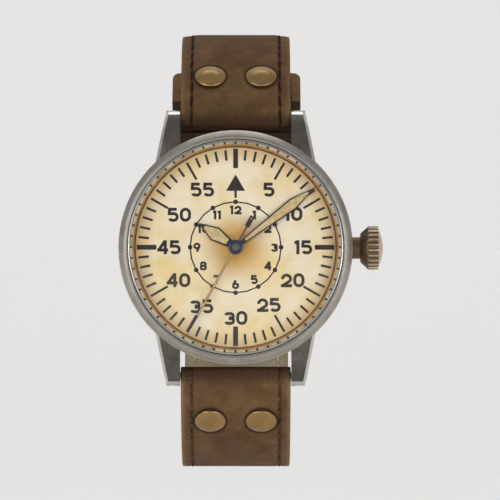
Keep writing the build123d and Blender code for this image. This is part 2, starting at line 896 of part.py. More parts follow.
# Main plate: a disc with a rim on each side and seats for what turns in it
plate_jewel_low = plate_low_level + jewel_inset
bridge_jewel_low = bridge_low_level + jewel_inset
train_places = (third_place, escape_place)
with BuildPart() as main_plate:
    turned([
        (0, plate_low_level),
        (movement_radius - plate_wall, plate_low_level),
        (movement_radius - plate_wall, bridge_top_level),
        (movement_radius, bridge_top_level),
        (movement_radius, dial_level),
        (movement_radius - dial_rim_wall, dial_level),
        (movement_radius - dial_rim_wall, plate_top_level),
        (0, plate_top_level),
    ])
    disc(center_arbor_radius + turning_gap, plate_low_level, plate_top_level, mode=Mode.SUBTRACT)
    disc(arbor_radius + turning_gap, plate_low_level, plate_top_level, barrel_place, Mode.SUBTRACT)
    for seat in (*train_places, pallet_place, balance_place):
        jewel_seat(seat, plate_jewel_low, Mode.SUBTRACT)
        disc(jewel_radius / 2, plate_low_level, plate_top_level, seat, Mode.SUBTRACT)
    for turn in (0, 180):
        foot = place(dial_foot_place, dial_foot_bearing + turn)
        disc(
            dial_foot_radius + turning_gap,
            dial_level - dial_foot_length - turning_gap,
            dial_level,
            foot,
            Mode.SUBTRACT,
        )
    slab(stem_block_start, stem_block_end, stem_block_width, bridge_top_level, plate_low_level)
    along_stem(stem_tip_radius + turning_gap, 0, stem_block_end, Mode.SUBTRACT)
    along_stem(stem_radius + turning_gap, stem_block_end, case_radius, Mode.SUBTRACT)
    slab(
        lever_window_start,
        lever_window_end,
        lever_window_width,
        lever_window_level,
        plate_low_level,
        Mode.SUBTRACT,
    )
    for pivot in (yoke_pivot, lever_pivot):
        disc(keyless_pivot_radius, keyless_level, plate_low_level, pivot)
    for post in (minute_place, setting_place):
        disc(minute_post_radius, plate_top_level, minute_pinion_top, post)
main_plate.part.label = "main_plate"
export_step(main_plate.part, "parts/main_plate.step")


def bar_from(start, end, width, low, high, mode=Mode.ADD):
    """Add or cut a straight arm with round ends between two places."""
    length = hypot(end[0] - start[0], end[1] - start[1])
    bearing = degrees(atan2(end[1] - start[1], end[0] - start[0]))
    with BuildSketch(level(low)) as arm:
        with Locations(Location(between(start, end, 0.5), bearing)):
            SlotCenterToCenter(length, width)
    extrude(arm.sketch, amount=high - low, mode=mode)


def bridge_blank(shares, low, high):
    """Add the part of the movement's disc that lies inside an outline."""
    with BuildSketch(level(low)) as blank:
        Circle(movement_radius - bridge_inset)
        Polygon(
            *[(x * movement_radius, z * movement_radius) for x, z in shares],
            align=None,
            mode=Mode.INTERSECT,
        )
    extrude(blank.sketch, amount=high - low)


# Pallet bridge: a strip on two feet over the lever's arbor
foot_places = [
    (
        pallet_place[0] + place(pallet_foot_distance, lever_bearing + turn)[0],
        pallet_place[1] + place(pallet_foot_distance, lever_bearing + turn)[1],
    )
    for turn in pallet_foot_turns
]
pallet_bridge_top = pallet_bridge_low + pallet_bridge_thickness
with BuildPart() as pallet_bridge:
    for foot in foot_places:
        bar_from(pallet_place, foot, 2 * pallet_foot_radius, pallet_bridge_low, pallet_bridge_top)
        disc(pallet_foot_radius, pallet_bridge_low, plate_low_level, foot)
    disc(pivot_radius + turning_gap, pallet_bridge_low, pallet_bridge_top, pallet_place, Mode.SUBTRACT)
pallet_bridge.part.label = "pallet_bridge"
export_step(pallet_bridge.part, "parts/pallet_bridge.step")

# Barrel bridge: it carries the barrel, and the winding wheels in its recesses
ratchet_radius = winding_module * ratchet_teeth / 2
wheel_tip = tip_share * winding_module + wheel_recess_gap
click_place = (
    barrel_place[0] + place(click_distance, click_bearing)[0],
    barrel_place[1] + place(click_distance, click_bearing)[1],
)
with BuildPart() as barrel_bridge:
    bridge_blank(barrel_bridge_shares, bridge_low_level, bridge_top_level)
    disc(ratchet_radius + wheel_tip, bridge_low_level, recess_floor_level, barrel_place, Mode.SUBTRACT)
    disc(
        crown_wheel_radius + wheel_tip,
        bridge_low_level,
        recess_floor_level,
        crown_wheel_place,
        Mode.SUBTRACT,
    )
    disc(click_recess_radius, bridge_low_level, recess_floor_level, click_place, Mode.SUBTRACT)
    disc(crown_wheel_bore - turning_gap, bridge_low_level, recess_floor_level, crown_wheel_place)
    disc(click_screw_radius, bridge_low_level, recess_floor_level, click_place)
    disc(arbor_radius + turning_gap, bridge_low_level, bridge_top_level, barrel_place, Mode.SUBTRACT)
    slab(
        clutch_pocket_start,
        pinion_window_start,
        clutch_pocket_width,
        clutch_pocket_level,
        bridge_top_level,
        Mode.SUBTRACT,
    )
    slab(
        pinion_window_start,
        pinion_window_end,
        pinion_window_width,
        winding_wheel_level,
        bridge_top_level,
        Mode.SUBTRACT,
    )
barrel_bridge.part.label = "barrel_bridge"
export_step(barrel_bridge.part, "parts/barrel_bridge.step")

# Train bridge: it carries the centre, third and escape arbors
with BuildPart() as train_bridge:
    bridge_blank(train_bridge_shares, bridge_low_level, bridge_top_level)
    disc(
        balance_radius + balance_window_gap,
        bridge_low_level,
        bridge_top_level,
        balance_place,
        Mode.SUBTRACT,
    )
    for seat in ((0, 0), *train_places):
        jewel_seat(seat, bridge_jewel_low, Mode.SUBTRACT)
        disc(jewel_radius / 2, bridge_low_level, bridge_top_level, seat, Mode.SUBTRACT)
train_bridge.part.label = "train_bridge"
export_step(train_bridge.part, "parts/train_bridge.step")

# Balance cock: a thin arm over the balance on a thick foot at the rim
cock_top = bridge_low_level + cock_thickness
with BuildPart() as balance_cock:
    with BuildSketch(level(bridge_low_level)) as arm:
        Circle(movement_radius - bridge_inset)
        Polygon(
            balance_place,
            place(2 * movement_radius, cock_foot_bearings[0]),
            place(2 * movement_radius, cock_foot_bearings[1]),
            align=None,
            mode=Mode.INTERSECT,
        )
        with Locations(balance_place):
            Circle(cock_hub_radius)
    extrude(arm.sketch, amount=cock_thickness)
    with BuildSketch(level(cock_top)) as foot:
        Circle(movement_radius - bridge_inset)
        Polygon(
            balance_place,
            place(2 * movement_radius, cock_foot_bearings[0]),
            place(2 * movement_radius, cock_foot_bearings[1]),
            align=None,
            mode=Mode.INTERSECT,
        )
        Circle(cock_foot_distance, mode=Mode.SUBTRACT)
    extrude(foot.sketch, amount=bridge_top_level - cock_top)
    disc(jewel_radius + seat_gap, bridge_low_level, cock_top, balance_place, Mode.SUBTRACT)
balance_cock.part.label = "balance_cock"
export_step(balance_cock.part, "parts/balance_cock.step")

# Jewels: a ring at each pivot
with BuildPart() as jewels:
    for seat in (*train_places, pallet_place, balance_place):
        jewel_seat(seat, plate_jewel_low)
        disc(pivot_radius + turning_gap, plate_low_level, plate_top_level, seat, Mode.SUBTRACT)
    for seat in ((0, 0), *train_places):
        jewel_seat(seat, bridge_jewel_low)
        disc(pivot_radius + turning_gap, bridge_low_level, bridge_top_level, seat, Mode.SUBTRACT)
    disc(jewel_radius, bridge_low_level, bridge_low_level + jewel_height, balance_place)
    disc(
        pivot_radius + turning_gap,
        bridge_low_level,
        bridge_low_level + jewel_height,
        balance_place,
        Mode.SUBTRACT,
    )
jewels.part.label = "jewels"
export_step(jewels.part, "parts/jewels.step")

with BuildPart() as bridge_screws:
    for bearing in bridge_screw_bearings:
        screw_place = place(bridge_screw_distance, bearing)
        disc(screw_head_radius, bridge_low_level - screw_head_height, bridge_low_level, screw_place)
        with BuildSketch(level(bridge_low_level - screw_head_height, screw_place)) as slot:
            Rectangle(2 * screw_head_radius + overrun, screw_slot_width)
        extrude(slot.sketch, amount=screw_slot_depth, mode=Mode.SUBTRACT)
bridge_screws.part.label = "bridge_screws"
export_step(bridge_screws.part, "parts/bridge_screws.step")

# Barrel: a toothed drum, its cover, its arbor and the coiled mainspring
center_phase = 0
barrel_phase = in_mesh(center_phase, center_leaves, barrel_bearing, barrel_teeth)
with BuildPart() as barrel_drum:
    disc(drum_radius, drum_low, drum_top, barrel_place)
    toothed(
        barrel_teeth, barrel_module, barrel_teeth_low, barrel_teeth_height, barrel_place, barrel_phase
    )
    disc(drum_bore, drum_low, drum_top - drum_floor, barrel_place, Mode.SUBTRACT)
    disc(arbor_radius + turning_gap, drum_low, drum_top, barrel_place, Mode.SUBTRACT)
barrel_drum.part.label = "barrel_drum"
export_step(barrel_drum.part, "parts/barrel_drum.step")

with BuildPart() as barrel_cover:
    disc(drum_bore - seat_gap, drum_low, drum_low + drum_floor, barrel_place)
    disc(arbor_radius + turning_gap, drum_low, drum_top, barrel_place, Mode.SUBTRACT)
barrel_cover.part.label = "barrel_cover"
export_step(barrel_cover.part, "parts/barrel_cover.step")

spring_low = drum_low + drum_floor + turning_gap
spring_top = drum_top - drum_floor - turning_gap
with BuildPart() as barrel_arbor:
    disc(arbor_core_radius, spring_low, spring_top, barrel_place)
    disc(arbor_radius, winding_wheel_level, plate_top_level - jewel_inset, barrel_place)
    disc(
        arbor_radius * square_share,
        winding_wheel_level - screw_head_height,
        winding_wheel_level,
        barrel_place,
    )
barrel_arbor.part.label = "barrel_arbor"
export_step(barrel_arbor.part, "parts/barrel_arbor.step")

mainspring_inner = arbor_core_radius + seat_gap + mainspring_thickness / 2 + mainspring_pitch / 4
mainspring_room = drum_bore - mainspring_clear - mainspring_inner
with BuildPart() as mainspring:
    coil(
        mainspring_inner,
        mainspring_pitch,
        2 * int(mainspring_room / mainspring_pitch),
        mainspring_thickness,
        spring_low,
        spring_top - spring_low,
        barrel_place,
    )
mainspring.part.label = "mainspring"
export_step(mainspring.part, "parts/mainspring.step")

# Winding wheels
ratchet_bearing = degrees(
    atan2(barrel_place[1] - crown_wheel_place[1], barrel_place[0] - crown_wheel_place[0])
)
crown_wheel_phase = 0
ratchet_phase = in_mesh(crown_wheel_phase, crown_wheel_teeth, ratchet_bearing, ratchet_teeth)
with BuildPart() as ratchet_wheel:
    toothed(
        ratchet_teeth,
        winding_module,
        winding_wheel_level,
        winding_wheel_thickness,
        barrel_place,
        ratchet_phase,
    )
    disc(arbor_radius + seat_gap, bridge_low_level, recess_floor_level, barrel_place, Mode.SUBTRACT)
ratchet_wheel.part.label = "ratchet_wheel"
export_step(ratchet_wheel.part, "parts/ratchet_wheel.step")

with BuildPart() as crown_wheel:
    toothed(
        crown_wheel_teeth,
        winding_module,
        winding_wheel_level,
        winding_wheel_thickness,
        crown_wheel_place,
        crown_wheel_phase,
    )
    disc(crown_wheel_bore, bridge_low_level, recess_floor_level, crown_wheel_place, Mode.SUBTRACT)
crown_wheel.part.label = "crown_wheel"
export_step(crown_wheel.part, "parts/crown_wheel.step")

# Click: a pawl that stands just clear of the ratchet wheel
ratchet_tip = ratchet_radius + tip_share * winding_module
beak_reach = click_distance - ratchet_tip - click_beak_gap - click_beak_width / 2
beak = between(click_place, barrel_place, beak_reach / click_distance)
winding_wheel_top = winding_wheel_level + winding_wheel_thickness
with BuildPart() as click:
    disc(click_radius, winding_wheel_level, winding_wheel_top, click_place)
    bar_from(click_place, beak, click_beak_width, winding_wheel_level, winding_wheel_top)
    disc(
        click_screw_radius + turning_gap,
        bridge_low_level,
        recess_floor_level,
        click_place,
        Mode.SUBTRACT,
    )
click.part.label = "click"
export_step(click.part, "parts/click.step")

# Centre wheel: wheel, pinion and the hollow arbor that carries the minute hand
third_pinion_phase = in_mesh(0, center_teeth, third_bearing, third_leaves)
with BuildPart() as center_wheel:
    toothed(center_teeth, center_module, center_wheel_level, wheel_thickness)
    crossings(wheel_rim_share * center_module * center_teeth / 2, center_wheel_level, wheel_thickness)
    toothed(
        center_leaves,
        barrel_module,
        center_pinion_low,
        center_wheel_level - center_pinion_low,
        phase=center_phase,
    )
    disc(center_arbor_radius, center_arbor_low, center_arbor_top)
    disc(center_bore_radius, center_arbor_low, center_arbor_top, mode=Mode.SUBTRACT)
center_wheel.part.label = "center_wheel"
export_step(center_wheel.part, "parts/center_wheel.step")

with BuildPart() as cannon_pinion:
    toothed(cannon_leaves, motion_module, motion_level, cannon_leaf_height)
    disc(cannon_pipe_radius, motion_level + cannon_leaf_height, cannon_pipe_top)
    disc(center_arbor_radius + seat_gap, motion_level, center_arbor_top, mode=Mode.SUBTRACT)
    disc(center_bore_radius, center_arbor_top, cannon_pipe_top, mode=Mode.SUBTRACT)
cannon_pinion.part.label = "cannon_pinion"
export_step(cannon_pinion.part, "parts/cannon_pinion.step")

# Third wheel
with BuildPart() as third_wheel:
    toothed(third_teeth, third_module, third_wheel_level, wheel_thickness, third_place)
    crossings(
        wheel_rim_share * third_module * third_teeth / 2, third_wheel_level, wheel_thickness, third_place
    )
    toothed(
        third_leaves,
        center_module,
        center_wheel_level - wheel_thickness,
        3 * wheel_thickness,
        third_place,
        third_pinion_phase,
    )
    disc(third_arbor_radius, bridge_top_level + turning_gap, plate_low_level - turning_gap, third_place)
    disc(pivot_radius, bridge_jewel_low, plate_jewel_low + jewel_height, third_place)
third_wheel.part.label = "third_wheel"
export_step(third_wheel.part, "parts/third_wheel.step")

# Fourth wheel: its long staff carries the seconds hand
fourth_pinion_phase = in_mesh(0, third_teeth, third_bearing + 180, fourth_leaves)
escape_pinion_phase = in_mesh(0, fourth_teeth, escape_bearing, escape_leaves)
with BuildPart() as fourth_wheel:
    toothed(fourth_teeth, escape_module, fourth_wheel_level, wheel_thickness)
    crossings(wheel_rim_share * escape_module * fourth_teeth / 2, fourth_wheel_level, wheel_thickness)
    toothed(
        fourth_leaves,
        third_module,
        fourth_pinion_low,
        fourth_pinion_top - fourth_pinion_low,
        phase=fourth_pinion_phase,
    )
    disc(fourth_staff_radius, bridge_top_level + turning_gap, seconds_hand_level + seconds_thickness)
    disc(pivot_radius, bridge_jewel_low, bridge_top_level + turning_gap)
fourth_wheel.part.label = "fourth_wheel"
export_step(fourth_wheel.part, "parts/fourth_wheel.step")

# Escape wheel: fifteen raked teeth and a small pinion
with BuildPart() as escape_wheel:
    with BuildSketch(level(escape_level, escape_place)) as club:
        corners = []
        tip_share_start, tip_share_end, heel_share = escape_tooth_shares
        for tooth in range(escape_teeth):
            pitch = 360 / escape_teeth
            corners += [
                polar_point(escape_radius - escape_tooth_depth, tooth * pitch),
                polar_point(escape_radius, (tooth + tip_share_start) * pitch),
                polar_point(escape_radius, (tooth + tip_share_end) * pitch),
                polar_point(escape_radius - escape_tooth_depth, (tooth + heel_share) * pitch),
            ]
        with BuildLine():
            Polyline(*corners, close=True)
        make_face()
    extrude(club.sketch, amount=escape_thickness)
    toothed(
        escape_leaves,
        escape_module,
        bridge_top_level + turning_gap,
        fourth_pinion_low + wheel_thickness - bridge_top_level - turning_gap,
        escape_place,
        escape_pinion_phase,
    )
    disc(escape_arbor_radius, bridge_top_level + turning_gap, plate_low_level - turning_gap, escape_place)
    disc(pivot_radius, bridge_jewel_low, plate_jewel_low + jewel_height, escape_place)
escape_wheel.part.label = "escape_wheel"
export_step(escape_wheel.part, "parts/escape_wheel.step")

# Pallet lever: an anchor with two stones, and a fork at the balance
fork_end = between(
    pallet_place, balance_place, 1 - fork_horn_gap / balance_pallet_distance
)
stone_places = [
    (
        escape_place[0] + place(stone_radius, lever_bearing + turn)[0],
        escape_place[1] + place(stone_radius, lever_bearing + turn)[1],
    )
    for turn in (pallet_span, -pallet_span)
]
with BuildPart() as pallet_fork:
    bar_from(pallet_place, fork_end, fork_bar_width, escape_level, escape_level + escape_thickness)
    for stone in stone_places:
        bar_from(
            pallet_place, stone, fork_bar_width, escape_level, escape_level + escape_thickness
        )
    disc(pivot_radius, pallet_bridge_low, plate_jewel_low + jewel_height, pallet_place)
    disc(escape_arbor_radius, pallet_bridge_top + turning_gap, plate_low_level - turning_gap, pallet_place)
    disc(
        escape_radius + click_beak_gap,
        escape_level,
        escape_level + escape_thickness,
        escape_place,
        Mode.SUBTRACT,
    )
    disc(
        roller_radius + click_beak_gap,
        escape_level,
        escape_level + escape_thickness,
        balance_place,
        Mode.SUBTRACT,
    )
pallet_fork.part.label = "pallet_fork"
export_step(pallet_fork.part, "parts/pallet_fork.step")

# Balance: a rimmed wheel, its staff with the roller, and the hairspring
with BuildPart() as balance_wheel:
    with BuildSketch(level(balance_low, balance_place)) as rim:
        Circle(balance_radius)
        Circle(balance_radius - balance_rim_width, mode=Mode.SUBTRACT)
        with PolarLocations(0, balance_arms):
            Rectangle(
                balance_radius - balance_rim_width / 2,
                balance_arm_width,
                align=(Align.MIN, Align.CENTER),
            )
        Circle(balance_hub_radius)
        Circle(staff_radius + seat_gap, mode=Mode.SUBTRACT)
    extrude(rim.sketch, amount=balance_rim_height)
balance_wheel.part.label = "balance_wheel"
export_step(balance_wheel.part, "parts/balance_wheel.step")

impulse_place = between(balance_place, pallet_place, impulse_pin_place / balance_pallet_distance)
with BuildPart() as balance_staff:
    disc(staff_radius, cock_top + turning_gap, plate_low_level - turning_gap, balance_place)
    disc(pivot_radius, bridge_low_level + turning_gap, plate_jewel_low + jewel_height, balance_place)
    disc(roller_radius, roller_level, roller_level + roller_thickness, balance_place)
    disc(impulse_pin_radius, escape_level, roller_level, impulse_place)
balance_staff.part.label = "balance_staff"
export_step(balance_staff.part, "parts/balance_staff.step")

with BuildPart() as hairspring:
    coil(
        hairspring_inner_radius,
        hairspring_pitch,
        2 * hairspring_turns,
        hairspring_thickness,
        hairspring_level,
        hairspring_height,
        balance_place,
    )
    with BuildSketch(level(hairspring_level, balance_place)) as collet:
        Circle(hairspring_inner_radius)
        Circle(staff_radius + seat_gap, mode=Mode.SUBTRACT)
    extrude(collet.sketch, amount=hairspring_height)
hairspring.part.label = "hairspring"
export_step(hairspring.part, "parts/hairspring.step")

# Motion works under the dial
minute_wheel_phase = in_mesh(0, cannon_leaves, 0, minute_teeth)
hour_phase = in_mesh(minute_wheel_phase, minute_leaves, 180, hour_teeth)
setting_phase = in_mesh(minute_wheel_phase, minute_teeth, 0, setting_teeth)
with BuildPart() as minute_wheel:
    toothed(minute_teeth, motion_module, motion_level, wheel_thickness, minute_place, minute_wheel_phase)
    toothed(
        minute_leaves,
        hour_module,
        motion_level,
        minute_pinion_top - motion_level,
        minute_place,
        minute_wheel_phase,
    )
    disc(minute_post_radius + turning_gap, plate_top_level, dial_level, minute_place, Mode.SUBTRACT)
minute_wheel.part.label = "minute_wheel"
export_step(minute_wheel.part, "parts/minute_wheel.step")

hour_pipe_bore = cannon_pipe_radius + turning_gap
with BuildPart() as hour_wheel:
    toothed(hour_teeth, hour_module, hour_wheel_level, wheel_thickness, phase=hour_phase)
    disc(hour_pipe_bore + hour_pipe_wall, hour_wheel_level, hour_pipe_top)
    disc(hour_pipe_bore, hour_wheel_level, hour_pipe_top, mode=Mode.SUBTRACT)
hour_wheel.part.label = "hour_wheel"
export_step(hour_wheel.part, "parts/hour_wheel.step")

with BuildPart() as setting_wheel:
    toothed(setting_teeth, motion_module, motion_level, wheel_thickness, setting_place, setting_phase)
    disc(minute_post_radius + turning_gap, plate_top_level, dial_level, setting_place, Mode.SUBTRACT)
setting_wheel.part.label = "setting_wheel"
export_step(setting_wheel.part, "parts/setting_wheel.step")

# Keyless works: the winding pinion and clutch on the stem
pinion_phase = 180 / winding_leaves
with BuildPart() as winding_pinion:
    with BuildSketch(
        Plane((winding_pinion_start, -stem_level, 0), x_dir=(0, 1, 0), z_dir=(1, 0, 0))
    ):
        with BuildLine():
            Polyline(*tooth_points(winding_leaves, winding_module, pinion_phase), close=True)
        make_face()
        Circle(stem_radius + turning_gap, mode=Mode.SUBTRACT)
    extrude(amount=winding_pinion_length)
winding_pinion.part.label = "winding_pinion"
export_step(winding_pinion.part, "parts/winding_pinion.step")

with BuildPart() as clutch_wheel:
    along_stem(clutch_radius, clutch_start, clutch_start + clutch_length)
    with BuildSketch(Plane.YZ.offset(clutch_groove_place - clutch_groove_width / 2)) as groove:
        with Locations((-stem_level, 0)):
            Circle(clutch_radius + overrun)
            Circle(clutch_radius - clutch_groove_depth, mode=Mode.SUBTRACT)
    extrude(groove.sketch, amount=clutch_groove_width, mode=Mode.SUBTRACT)
    with BuildSketch(Plane.YZ.offset(clutch_start)) as square:
        with Locations((-stem_level, 0)):
            Rectangle(stem_square + 2 * turning_gap, stem_square + 2 * turning_gap)
    extrude(square.sketch, amount=clutch_length, mode=Mode.SUBTRACT)
clutch_wheel.part.label = "clutch_wheel"
export_step(clutch_wheel.part, "parts/clutch_wheel.step")

with BuildPart() as winding_stem:
    along_stem(stem_tip_radius, stem_tip_start, stem_square_start)
    with BuildSketch(Plane.YZ.offset(stem_square_start)) as square:
        with Locations((-stem_level, 0)):
            Rectangle(stem_square, stem_square)
    extrude(square.sketch, amount=stem_round_start - stem_square_start)
    along_stem(stem_radius, stem_round_start, crown_bore_end)
    with BuildSketch(Plane.YZ.offset(stem_groove_place - stem_groove_width / 2)) as groove:
        with Locations((-stem_level, 0)):
            Circle(stem_radius + overrun)
            Circle(stem_radius - stem_groove_depth, mode=Mode.SUBTRACT)
    extrude(groove.sketch, amount=stem_groove_width, mode=Mode.SUBTRACT)
winding_stem.part.label = "winding_stem"
export_step(winding_stem.part, "parts/winding_stem.step")

# Yoke and setting lever: each turns on a post, with a pin in a groove
keyless_top = keyless_level + keyless_thickness
clutch_pin_level = stem_level + clutch_radius - clutch_groove_depth + pin_depth_gap
stem_pin_level = stem_level + stem_radius - stem_groove_depth + pin_depth_gap
with BuildPart() as yoke:
    bar_from(yoke_pivot, (clutch_groove_place, 0), yoke_width, keyless_level, keyless_top)
    disc(keyless_hub_radius, keyless_level, keyless_top, yoke_pivot)
    disc(yoke_pin_radius, clutch_pin_level, keyless_level, (clutch_groove_place, 0))
    disc(keyless_pivot_radius + turning_gap, keyless_level, keyless_top, yoke_pivot, Mode.SUBTRACT)
yoke.part.label = "yoke"
export_step(yoke.part, "parts/yoke.step")

with BuildPart() as setting_lever:
    bar_from(lever_pivot, (stem_groove_place, 0), lever_width, keyless_level, keyless_top)
    disc(keyless_hub_radius, keyless_level, keyless_top, lever_pivot)
    disc(lever_pin_radius, stem_pin_level, keyless_level, (stem_groove_place, 0))
    disc(keyless_pivot_radius + turning_gap, keyless_level, keyless_top, lever_pivot, Mode.SUBTRACT)
setting_lever.part.label = "setting_lever"
export_step(setting_lever.part, "parts/setting_lever.step")

# Crown: a fluted, domed cap on a cone, with a tube inside
with BuildPart() as crown_tube:
    along_stem(tube_radius, tube_start, tube_end)
    along_stem(tube_bore_radius, tube_start, tube_end, Mode.SUBTRACT)
crown_tube.part.label = "crown_tube"
export_step(crown_tube.part, "parts/crown_tube.step")

dome_radius = crown_radius * crown_dome_share
dome_rise = crown_dome_end - crown_flute_end
with BuildPart() as crown:
    with BuildSketch(Plane(origin=(0, -stem_level, 0), x_dir=(1, 0, 0), z_dir=(0, 0, 1))):
        with BuildLine():
            Polyline(
                (crown_bore_end, 0),
                (crown_bore_end, crown_bore_radius),
                (crown_neck_end, crown_bore_radius),
                (crown_neck_end, crown_cone_radius),
                (crown_cone_end, crown_radius),
                (crown_flute_end, crown_radius),
                (crown_flute_end, dome_radius),
            )
            ThreePointArc(
                (crown_flute_end, dome_radius),
                (
                    crown_flute_end + cap_rise(dome_radius, dome_rise, dome_radius / 2),
                    dome_radius / 2,
                ),
                (crown_dome_end, 0),
            )
            Line((crown_dome_end, 0), (crown_bore_end, 0))
        make_face()
    revolve(axis=Axis((0, -stem_level, 0), (1, 0, 0)))
    with BuildSketch(Plane.YZ.offset(crown_cone_end - crown_flute_radius)):
        with Locations((-stem_level, 0)):
            with PolarLocations(crown_radius * crown_flute_share, crown_flutes):
                Circle(crown_flute_radius)
    extrude(amount=crown_flute_end - crown_cone_end + overrun, mode=Mode.SUBTRACT)
crown.part.label = "crown"
export_step(crown.part, "parts/crown.step")

with BuildPart() as crown_gasket:
    along_stem(crown_bore_radius - seat_gap, crown_gasket_start, crown_gasket_start + crown_gasket_length)
    along_stem(tube_radius + seat_gap, crown_gasket_start, crown_bore_end, Mode.SUBTRACT)
crown_gasket.part.label = "crown_gasket"
export_step(crown_gasket.part, "parts/crown_gasket.step")

# Hands
with BuildPart() as hour_hand:
    flat_hand(
        hour_hand_level,
        hand_thickness,
        hour_hand_bearing,
        [
            (0, hour_hand_neck / 2),
            (hour_hand_belly, hour_hand_width / 2),
            (hour_hand_length, tip_width / 2),
        ],
        hour_hand_hub,
    )
    disc(
        hour_pipe_bore + hour_pipe_wall + seat_gap,
        hour_hand_level,
        hour_pipe_top,
        mode=Mode.SUBTRACT,
    )
hour_hand.part.label = "hour_hand"
export_step(hour_hand.part, "parts/hour_hand.step")

with BuildPart() as minute_hand:
    flat_hand(
        minute_hand_level,
        hand_thickness,
        minute_hand_bearing,
        [
            (0, minute_hand_neck / 2),
            (minute_hand_belly, minute_hand_width / 2),
            (minute_hand_length, tip_width / 2),
        ],
        minute_hand_hub,
    )
    disc(cannon_pipe_radius + seat_gap, minute_hand_level, cannon_pipe_top, mode=Mode.SUBTRACT)
minute_hand.part.label = "minute_hand"
export_step(minute_hand.part, "parts/minute_hand.step")

cap_low = seconds_hand_level + seconds_thickness
with BuildPart() as seconds_hand:
    flat_hand(
        seconds_hand_level,
        seconds_thickness,
        seconds_hand_bearing,
        [
            (-seconds_tail_length, seconds_weight_width / 2),
            (-seconds_weight_start, seconds_weight_width / 2),
            (-seconds_weight_start, seconds_stem_width / 2),
            (seconds_lume_start, seconds_stem_width / 2),
            (seconds_lume_start, seconds_width / 2),
            (seconds_lume_end, seconds_width / 2),
            (seconds_hand_length, seconds_tip_width / 2),
        ],
        seconds_hub_radius,
    )
    disc(fourth_staff_radius + seat_gap, seconds_hand_level, cap_low, mode=Mode.SUBTRACT)
    disc(cap_radius, cap_low, cap_low + cap_height)
seconds_hand.part.label = "seconds_hand"
export_step(seconds_hand.part, "parts/seconds_hand.step")

# Spring bars between the lugs
for side, name in ((1, "spring_bar_12"), (-1, "spring_bar_6")):
    with BuildPart() as spring_bar:
        across(bar_radius, lug_x - turning_gap, (bar_y, side * bar_z))
        across(bar_tip_radius, lug_x + bar_hole_depth - turning_gap, (bar_y, side * bar_z))
    spring_bar.part.label = name
    export_step(spring_bar.part, f"parts/{name}.step")

# Rivets: a dome outside, a shank through the strap and a washer inside
rivet_seat_rise = strap_half + pad_rise - rivet_sink
washer_rise = washer_sink - strap_half


def rivet_bars(side, spare, mode=Mode.ADD):
    """Add the shanks and washers of the rivets on one strap half, or cut room for them."""
    for plane, radius, length in (
        (strap_plane(rivet_place, rivet_seat_rise, side), rivet_shank_radius, washer_rise - rivet_seat_rise),
        (strap_plane(rivet_place, washer_rise, side), rivet_washer_radius, -rivet_washer_thickness),
    ):
        with BuildSketch(plane) as bars:
            with GridLocations(rivet_spacing, 0, 2, 1):
                Circle(radius + spare)
        extrude(bars.sketch, amount=length, mode=mode)


def rivet_seats(side):
    """Cut flat seats for the domes, and room for the shanks and washers."""
    with BuildSketch(strap_plane(rivet_place, rivet_seat_rise, side)) as seats:
        with GridLocations(rivet_spacing, 0, 2, 1):
            Circle(rivet_radius + seat_gap)
    extrude(seats.sketch, amount=rivet_dome, mode=Mode.SUBTRACT)
    rivet_bars(side, seat_gap, Mode.SUBTRACT)


for side, name in ((1, "rivets_12"), (-1, "rivets_6")):
    seat_y, seat_z = strap_point(rivet_place, rivet_seat_rise, side)
    lean = radians(strap_turn(rivet_place))
    outward = (0, -cos(lean), side * sin(lean))
    with BuildPart() as rivets:
        for x in (-rivet_spacing / 2, rivet_spacing / 2):
            middle = (x, seat_y, seat_z)
            with BuildSketch(Plane(middle, x_dir=(1, 0, 0), z_dir=(0, -outward[2], outward[1]))):
                with BuildLine():
                    Polyline((0, rivet_dome), (0, 0), (rivet_radius, 0), (rivet_radius, rivet_edge))
                    ThreePointArc(
                        (rivet_radius, rivet_edge),
                        (
                            rivet_radius / 2,
                            rivet_edge
                            + cap_rise(rivet_radius, rivet_dome - rivet_edge, rivet_radius / 2),
                        ),
                        (0, rivet_dome),
                    )
                make_face()
            revolve(axis=Axis(middle, outward))
        rivet_bars(side, 0)
    rivets.part.label = name
    export_step(rivets.part, f"parts/{name}.step")


def strap_blank(edges, width):
    """Add a strip as wide as the strap, from an outline in the plane across the bars."""
    with BuildSketch(Plane.YZ.offset(-width / 2)) as profile:
        with BuildLine():
            edges()
        make_face()
    extrude(profile.sketch, amount=width)


def pad_edge(side):
    """Draw the padded outside of the strap, from the bar to the end of the pad."""
    strap_arcs(0, pad_start, strap_half, side)
    ThreePointArc(
        strap_point(pad_start, strap_half, side),
        strap_point(pad_crest, strap_half + pad_rise, side),
        strap_point(pad_end, strap_half, side),
    )


def bar_end(side):
    """Draw the turned edge of the leather inside the strap and round the spring bar."""
    Line(strap_point(lining_start, 0, side), strap_point(lining_start, -strap_half, side))
    strap_arcs(lining_start, 0, -strap_half, side)
    ThreePointArc(
        strap_point(0, -strap_half, side),
        strap_point(-strap_half, 0, side),
        strap_point(0, strap_half, side),
    )


def short_leather():
    """Draw the leather of the upper half: out to the buckle pin, round it and back."""
    pad_edge(1)
    strap_arcs(pad_end, pin_place, strap_half, 1)
    ThreePointArc(
        strap_point(pin_place, strap_half, 1),
        strap_point(pin_place + strap_half, 0, 1),
        strap_point(pin_place, -strap_half, 1),
    )
    strap_arcs(pin_place, turn_in_start, -strap_half, 1)
    Line(strap_point(turn_in_start, -strap_half, 1), strap_point(turn_in_start, 0, 1))
    strap_arcs(turn_in_start, lining_start, 0, 1)
    bar_end(1)


def long_leather():
    """Draw the leather of the lower half: out to its tail and back along its middle."""
    pad_edge(-1)
    strap_arcs(pad_end, long_strap_length, strap_half, -1)
    Line(
        strap_point(long_strap_length, strap_half, -1),
        strap_point(long_strap_length, 0, -1),
    )
    strap_arcs(long_strap_length, lining_start, 0, -1)
    bar_end(-1)


